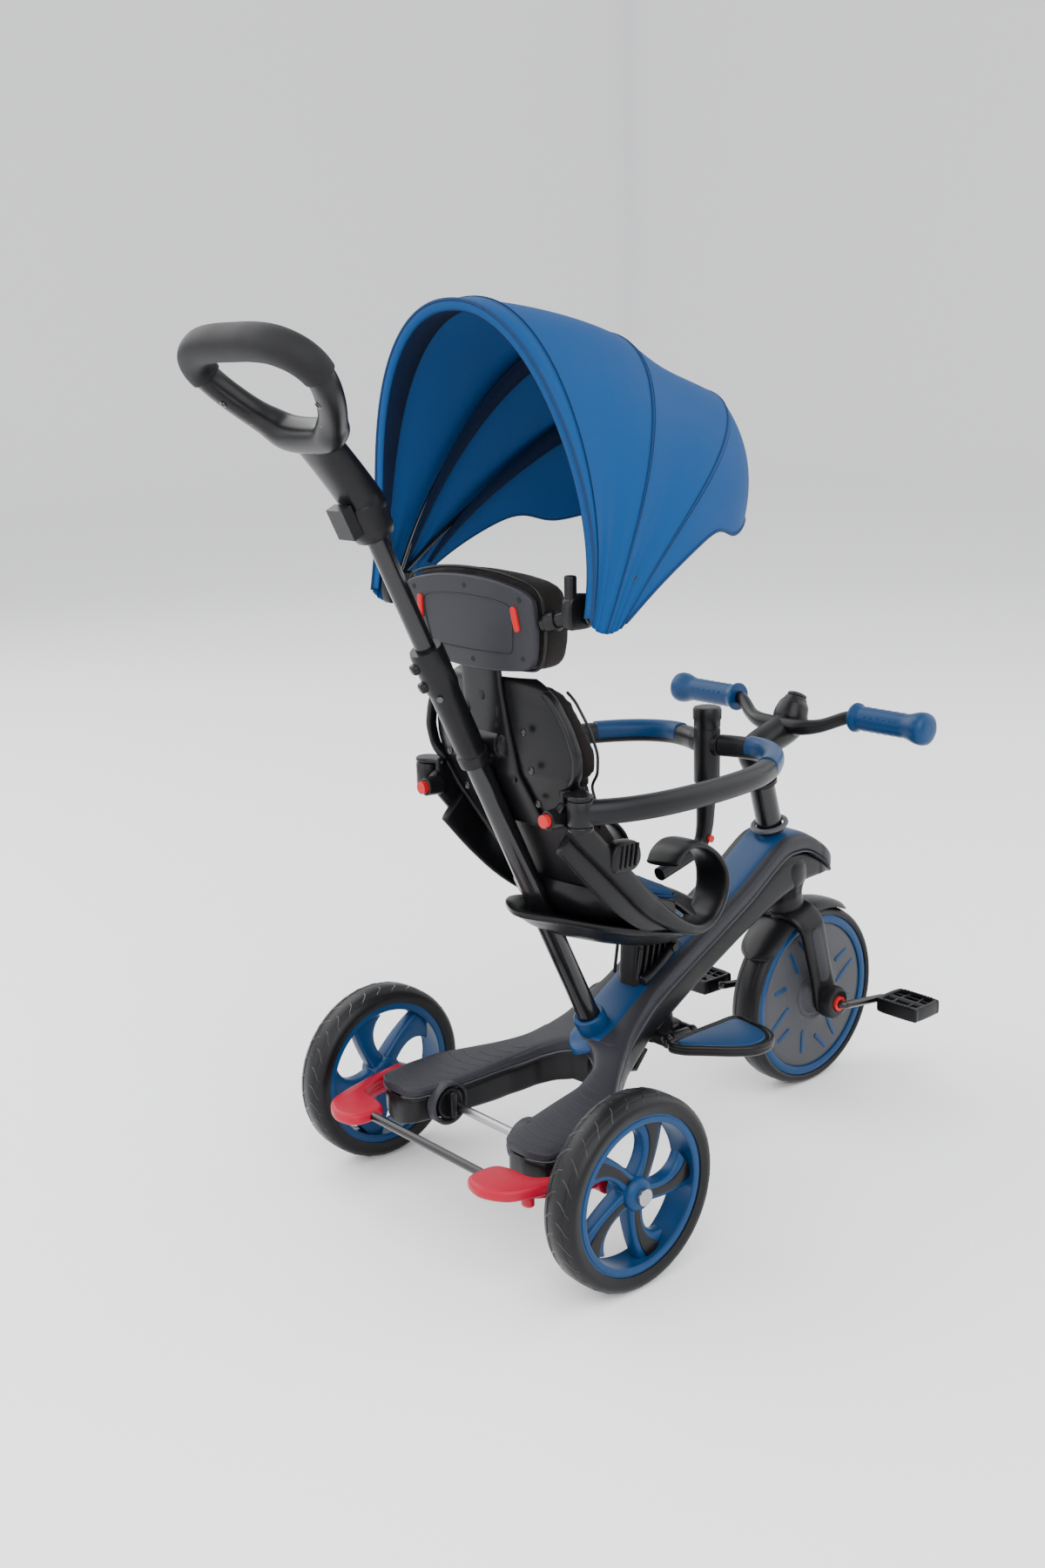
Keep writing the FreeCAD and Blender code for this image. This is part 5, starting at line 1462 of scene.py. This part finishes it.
@dataclass
class Canopy:
    """The folding canopy: panels between bows, with hems, seams, welts and inner bands darkened as painted shade.
    """

    width: float = 174.0
    drop: float = 24.0

    def bow(self, angle: Array, reach: Array, u: Array) -> Array:
        """Arch points: y = W*sgn(cos u)|cos u|^(2/e); up the tilted plane r = R*|sin u|^(2/e), plus a small circle
        round the hub that fades with (1 - |sin u|)^6, so that the cloth's ends lie round the pivot.

        Args:
            angle: tilt from upright in degrees, one per row or one per point.
            reach: distance from the hub to the crown, likewise.
            u: place along the arch, from 0 to pi.

        Returns:
            Points, rows by columns by three.
        """
        angle = angle[:, None] if angle.ndim == 1 else angle
        reach = reach[:, None] if reach.ndim == 1 else reach
        tilt = np.radians(angle)
        power = 2.15 + 0.3 * np.clip(angle / 54.0, 0, 1)
        c, s = np.cos(u)[None, :], np.sin(u)[None, :]
        y = self.width * np.sign(c) * np.abs(c) ** (2 / power)
        r = reach * np.abs(s) ** (2 / power)
        spread = np.radians(-110.0 - (angle + 7.0) / 83.0 * 140.0)
        ends = self.drop * (1 - np.abs(s)) ** 6
        x = HUB[0] + r * np.sin(tilt) + ends * np.sin(spread)
        z = HUB[2] + r * np.cos(tilt) + ends * np.cos(spread)
        return np.stack([x, np.broadcast_to(y, x.shape), z], axis=2)

    @staticmethod
    def stations(middle_count: int) -> Array:
        """Places along an arch, in radians: close together at both ends, and middle_count between."""
        return np.radians(np.concatenate([np.linspace(0.5, 12, 22), np.linspace(14, 166, middle_count),
                                          np.linspace(168, 179.5, 22)]))

    def panel(self, start: tuple[float, float], end: tuple[float, float], sag: float) -> Array:
        """Cloth between two bows: angle and reach run from one to the other, less sag*sin(pi v); small folds of
        three waves run out of the hub and die away with distance."""
        v = np.linspace(0.0, 1.0, PANEL_ROWS)
        u = self.stations(100)
        angle = start[0] + (end[0] - start[0]) * v
        reach = start[1] + (end[1] - start[1]) * v - sag * np.sin(math.pi * v)
        grid = self.bow(angle, reach, u)
        out = grid - HUB
        out[:, :, 1] = 0.0
        away = np.linalg.norm(out, axis=2)
        fold = np.sin(6 * math.pi * v)[:, None] * np.exp(-((away - 40) / 60.0) ** 2)
        fold = fold + 0.5 * np.sin(10 * math.pi * v + 1.0)[:, None] * np.exp(-away / 60.0)
        pull = np.sin(math.pi * v)[:, None] * np.exp(-((away - 120) / 90.0) ** 2)
        grid[:, :, 1] += np.sign(grid[:, :, 1]) * (1.3 * fold - 3.0 * pull) * np.sin(math.pi * v)[:, None]
        return grid

    def cloth(self, name: str, grid: Array, body: str, node: str, extras: Sequence[bpy.types.Object],
              ride: bool) -> bpy.types.Object:
        """Args:
            name: piece name.
            grid: panel points.
            body: body that it rides on, if it is rigid.
            node: CAD node that it stands for.
            extras: hems, seams and bands on the panel; not used.
            ride: whether it rides on its body; when false it is left without a parent.

        Returns:
            The panel.
        """
        along = np.concatenate([[0], np.cumsum(np.linalg.norm(np.diff(grid[len(grid) // 2], axis=0), axis=1))])
        across = np.concatenate([np.zeros((1, grid.shape[1])),
                                 np.cumsum(np.linalg.norm(np.diff(grid, axis=0), axis=2), axis=0)])
        flat = np.stack([np.broadcast_to(along, across.shape), across], axis=2) / 1000.0
        piece = build(name, lattice(grid, wrap_cols=False, caps=False, flat=flat), Paint.CANOPY, body, [node], 60,
                      thick=1.1, ride=ride)
        return piece

    def _bow(self, name: str, angle: float, reach: float, body: str, side: float) -> None:
        """A steel bow just inside the cloth, bent in to its flat eyes on the pivots."""
        u = np.radians(np.linspace(0.0, 180.0, 140))
        line = self.bow(np.array([angle]), np.array([reach - 5.2]), u)[0]
        out = np.array([math.sin(math.radians(angle)), 0.0, math.cos(math.radians(angle))])
        away = np.maximum((line - HUB) @ out, 9.0)
        near = np.exp(-((away / 60.0) ** 2))
        y = (self.width - 5.4) * line[:, 1] / self.width
        line = HUB + away[:, None] * out
        line[:, 1] = y * (1 - near) + np.sign(y) * side * near
        eyes = [lathe([(-2.4, 4.6), (-2.4, 11.6), (-1.6, 12.4), (1.6, 12.4), (2.4, 11.6), (2.4, 4.6)],
                      HUB + Y * side * sign, Y, 36, True) for sign in (1, -1)]
        build(f"bow_{name}_tube", [sweep(line, (2.6, 2.6), X, 2.0, 14)] + eyes, Paint.STEEL, body,
              [f"canopy_bow_{name}"], 60)

    def arc(self, angle: float, reach: float, lift: float, radius: float) -> Surface:
        """A thin cord of thread or piping along one arch."""
        u = np.radians(np.linspace(ARC_TRIM, 180 - ARC_TRIM, 150))
        line = self.bow(np.array([angle]), np.array([reach + lift]), u)[0]
        line[:, 1] *= 1 + lift / self.width
        tilt = math.radians(angle)
        return sweep(line, (radius, radius), np.array([math.cos(tilt), 0.0, -math.sin(tilt)]), 2.0, 10)

    def band(self, name: str, angles: Sequence[float], reach: float, lifts: Sequence[float], paint: Paint,
             body: str,
             trim: float) -> bpy.types.Object:
        """A strip of cloth along an arch, through rows at the given angles and distances off the panel."""
        u = np.radians(np.linspace(trim, 180 - trim, 130))
        lift = np.array(lifts)
        grid = self.bow(np.array(angles), reach + lift, u)
        grid[:, :, 1] *= 1 + lift[:, None] / self.width
        return build(name, lattice(grid, wrap_cols=False, caps=False), paint, body, sharp=60, thick=0.9)

    def make(self) -> None:
        """Build the canopy: panels, hems, seams, bands and the bows' finish."""
        rear, mid, front = (-7.0, 300.0), (29.0, 304.0), (54.0, 350.0)
        bows = (("rear", rear, "headrest", 155.0), ("mid", mid, "middle_bow", 161.5),
                ("front", front, "front_bow", 168.0))
        for name, (angle, reach), body, side in bows:
            self._bow(name, angle, reach, body, side)
        hem = self.band("canopy_hem_rear", (-8.1, -8.6, -8.7, -8.3, -5.5, -2.9), 300.0,
                        (-10.0, -7.0, -2.0, 0.9, 1.1, 0.9),
                        Paint.CANOPY, "headrest", 0.8)
        trims = [build("canopy_piping_rear", [self.arc(-8.3, 300.0, 0.9, 1.9), self.arc(-3.0, 300.0, 1.3, 0.55)],
                       Paint.THREAD, "headrest")]
        # Sleeves under the cloth along each bow, coloured dark as painted shade of the canopy's inside.
        under = (-9.6, -9.6, -9.6)
        inner = [self.band("canopy_shaded_sleeve_rear", (-8.1, -5.0, -1.0), 300.0, under, Paint.SHADED_CANOPY, "headrest", 3.0),
                 self.band("canopy_shaded_sleeve_mid", (26.4, 29.0, 31.6), 304.0, under, Paint.SHADED_CANOPY, "middle_bow", 6.0),
                 self.band("canopy_shaded_sleeve_front", (51.2, 53.6, 56.0), 350.0, under, Paint.SHADED_CANOPY, "front_bow", 6.0)]
        seams = [build("canopy_seam_mid", [self.arc(28.7, 304.0, 0.2, 0.9), self.arc(29.6, 304.0, 0.2, 0.5)],
                       Paint.THREAD, "middle_bow"),
                 build("canopy_seam_front", [self.arc(53.9, 349.6, 0.0, 0.9), self.arc(54.9, 350.2, 0.1, 0.5)],
                       Paint.THREAD, "front_bow")]
        back = self.cloth("canopy_cloth_rear", self.panel(rear, mid, 7.0), "headrest", "canopy_panel_rear",
                          [hem, trims[0], inner[0]], False)
        fore = self.cloth("canopy_cloth_front", self.panel(mid, front, 15.0), "middle_bow", "canopy_panel_front",
                          [inner[1], seams[0]], False)
        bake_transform(back)
        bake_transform(fore)
        visor, rim = self._visor(front)
        edge = build("canopy_visor_hem", rim, Paint.THREAD, "front_bow")
        self.cloth("canopy_peak", visor, "front_bow", "canopy_visor", [edge, seams[1], inner[2]], True)

    def _visor(self, front: tuple[float, float]) -> tuple[Array, Surface]:
        """The visor: from the front bow the sides run on to the hem, and the middle reaches further as a flap."""
        v = np.linspace(0.0, 1.0, 30)[:, None]
        u = self.stations(150)
        share = np.abs(self.bow(np.array([front[0]]), np.array([front[1]]), u)[0][:, 1]) / self.width
        flap = 1 / (1 + np.exp((share - 0.86) * 44.0))[None, :]
        angle = front[0] + v * (14.0 + 8.0 * flap)
        reach = front[1] - 16.0 * v * (1 - flap) + flap * (7.0 * np.sin(math.pi * v) - 26.0 * v**2.4)
        grid = self.bow(angle, reach, u)
        return grid, sweep(grid[-1], (1.6, 1.6), X, 2.0, 10)


@dataclass
class Footrests:
    """Two fold-up footrests on a knuckled bracket."""

    level: float = 150.0

    def make(self) -> None:
        """Build the footrests and their bracket."""
        z = self.level
        bracket = [sweep(np.array([[228.0, 0, z], [274.0, 0, z]]), (28.0, 9.0), Z, 4.0, 36, rounding=3),
                   sweep(np.array([[244.0, 0, z], [244.0, 0, z + 22]]), (30.0, 17.0), X, 4.0, 36)]
        screws = []
        for side in (1, -1):
            for x in (226.0, 268.0):
                spot = np.array([x, side * 44.0, z])
                bracket.append(lathe([(0, 0), (0, 7.2), (1.2, 8.4), (6.8, 8.4), (8, 7.2), (8, 0)], spot, X, 36))
                ear = np.array([[x + 4, side * 26.0, z], [x + 4, side * 44.0, z]])
                bracket.append(sweep(ear, (4.0, 7.6), Z, 4.0, 24))
                screws.append(lathe([(0, 4), (-1.2, 3.6), (-1.4, 2), (-0.6, 1.4), (-0.6, 0)],
                                    spot + (X * 0 if x < 240 else X * 9.2), X, 20))
        build("footrest_knuckles", bracket, Paint.DARK, "frame", ["footrest_bracket"], 50)
        build("footrest_screws", screws, Paint.STEEL, "frame")
        outline = np.array([(217, 57), (219, 76), (236, 96), (262, 124), (282, 138), (304, 139), (320, 130),
                            (331, 112), (336, 88), (336, 57), (300, 54), (250, 54)], float)
        for side, label in ((1, "left"), (-1, "right")):
            loop = even(spline(outline * np.array([1.0, side]), 400, True), 130, True)
            centre = loop.mean(axis=0)
            small = centre + (loop - centre) * np.array([0.84, 0.80])
            body = f"{label}_footrest"
            tray = plate(loop, z - 6.5, z + 5.5, 5.5, "z")
            rim_line = np.column_stack([centre + (loop - centre) * 0.955, np.full(len(loop), z + 4.0)])
            rim = sweep(rim_line, (3.4, 3.6), Z, 2.4, 16, closed=True)
            barrel = lathe([(-14.6, 4.2), (-14.6, 7.4), (-13.6, 8), (13.6, 8), (14.6, 7.4), (14.6, 4.2)],
                           np.array([251.0, side * 44.0, z]), X, 36)
            web = sweep(np.array([[251.0, side * 46.0, z], [251.0, side * 62.0, z]]), (14.0, 5.6), Z, 4.0, 28)
            build(f"footrest_{label}_tray", [tray, rim, barrel, web], Paint.DARK, body, [f"footrest_{label}"], 60)
            build(f"footrest_{label}_tread", plate(small, z + 2.0, z + 7.0, 1.6, "z"), Paint.BLUE, body)


@dataclass
class Studio:
    """Pale floor, soft lights and the camera."""

    eye: tuple = (-1113.1, -1335.8, 931.2)
    look: tuple = (0.63725, 0.73112, -0.24367)
    right: tuple = (0.75029, -0.66079, -0.02053)
    lens: float = 38.96

    def make(self) -> None:
        """Build the studio."""
        self._floor()
        self._world()
        self._light("key", (-1.6, -2.6, 3.0), 4.4, 230.0)
        self._light("fill", (2.8, -1.6, 2.2), 4.0, 90.0)
        self._light("rim", (-0.6, 3.0, 2.8), 3.6, 120.0)
        self._light("left", (-3.0, 1.0, 1.8), 3.4, 80.0)
        self._camera()

    def _floor(self) -> None:
        """A wide pale floor that curls up far behind."""
        t = np.linspace(0.0, 1.0, 60)
        y = 14.0 * (t * 2 - 1)
        far = np.clip((np.abs(y) - 9.0) / 5.0, 0, 1)
        grid = np.stack([np.broadcast_to(y[:, None], (60, 60)), np.broadcast_to(y[None, :], (60, 60)),
                         np.maximum(far[:, None], far[None, :]) ** 2 * 6.0], axis=2)
        surface = lattice(grid, wrap_cols=False, caps=False)
        mesh = bpy.data.meshes.new("floor")
        mesh.from_pydata(surface.points, [], surface.faces)
        mesh.shade_smooth()
        made = bpy.data.materials.new("floor")
        made.use_nodes = True
        tree = made.node_tree
        shader = tree.nodes["Principled BSDF"]
        place = tree.nodes.new("ShaderNodeTexCoord")
        noise = tree.nodes.new("ShaderNodeTexNoise")
        noise.inputs["Scale"].default_value = 3.0
        ramp = tree.nodes.new("ShaderNodeMapRange")
        ramp.inputs["To Min"].default_value = 0.50
        ramp.inputs["To Max"].default_value = 0.58
        tree.links.new(place.outputs["Object"], noise.inputs["Vector"])
        tree.links.new(noise.outputs["Fac"], ramp.inputs["Value"])
        tree.links.new(ramp.outputs["Result"], shader.inputs["Roughness"])
        shader.inputs["Base Color"].default_value = (0.93, 0.93, 0.935, 1.0)
        mesh.materials.append(made)
        floor = bpy.data.objects.new("floor", mesh)
        bpy.context.scene.collection.objects.link(floor)

    def _world(self) -> None:
        """Even pale surroundings."""
        world = bpy.data.worlds.new("studio")
        world.use_nodes = True
        back = world.node_tree.nodes["Background"]
        back.inputs["Color"].default_value = (0.93, 0.94, 0.96, 1.0)
        back.inputs["Strength"].default_value = 1.2
        bpy.context.scene.world = world

    def _light(self, name: str, place: tuple[float, float, float], size: float, power: float) -> None:
        """A large square lamp turned towards the middle of the tricycle."""
        lamp = bpy.data.lights.new(name, "AREA")
        lamp.size = size
        lamp.energy = power
        thing = bpy.data.objects.new(name, lamp)
        bpy.context.scene.collection.objects.link(thing)
        aim = Vector((0.0, 0.0, 0.45)) - Vector(place)
        thing.location = place
        thing.rotation_euler = aim.to_track_quat("-Z", "Y").to_euler()

    def _camera(self) -> None:
        """The camera, from its place and the directions that it looks and holds level."""
        data = bpy.data.cameras.new("camera")
        data.lens = self.lens
        data.sensor_width = 36.0
        data.clip_end = 60.0
        thing = bpy.data.objects.new("camera", data)
        bpy.context.scene.collection.objects.link(thing)
        look = np.array(self.look) / np.linalg.norm(self.look)
        right = np.array(self.right) - look * float(np.dot(self.right, look))
        right /= np.linalg.norm(right)
        up = np.cross(right, look)
        matrix = np.eye(4)
        matrix[:3, 0], matrix[:3, 1], matrix[:3, 2] = right, up, -look
        matrix[:3, 3] = to_metres(np.array(self.eye))
        thing.matrix_world = Matrix(matrix.tolist())
        bpy.context.scene.camera = thing


def main() -> None:
    """Build the tricycle and the studio in order."""
    logging.basicConfig(level=logging.INFO, format="%(name)s %(message)s")
    assemblies = [RearWheel(1), RearWheel(-1), Chassis(), Brake(), Steering(), FrontWheel(), PushPole(), Seat(),
                  Backrest(), GuardRing(), Headrest(), Canopy(), Footrests(), Studio()]
    for assembly in assemblies:
        assembly.make()
        LOG.info("made %s", type(assembly).__name__)


if __name__ == "__main__":
    main()
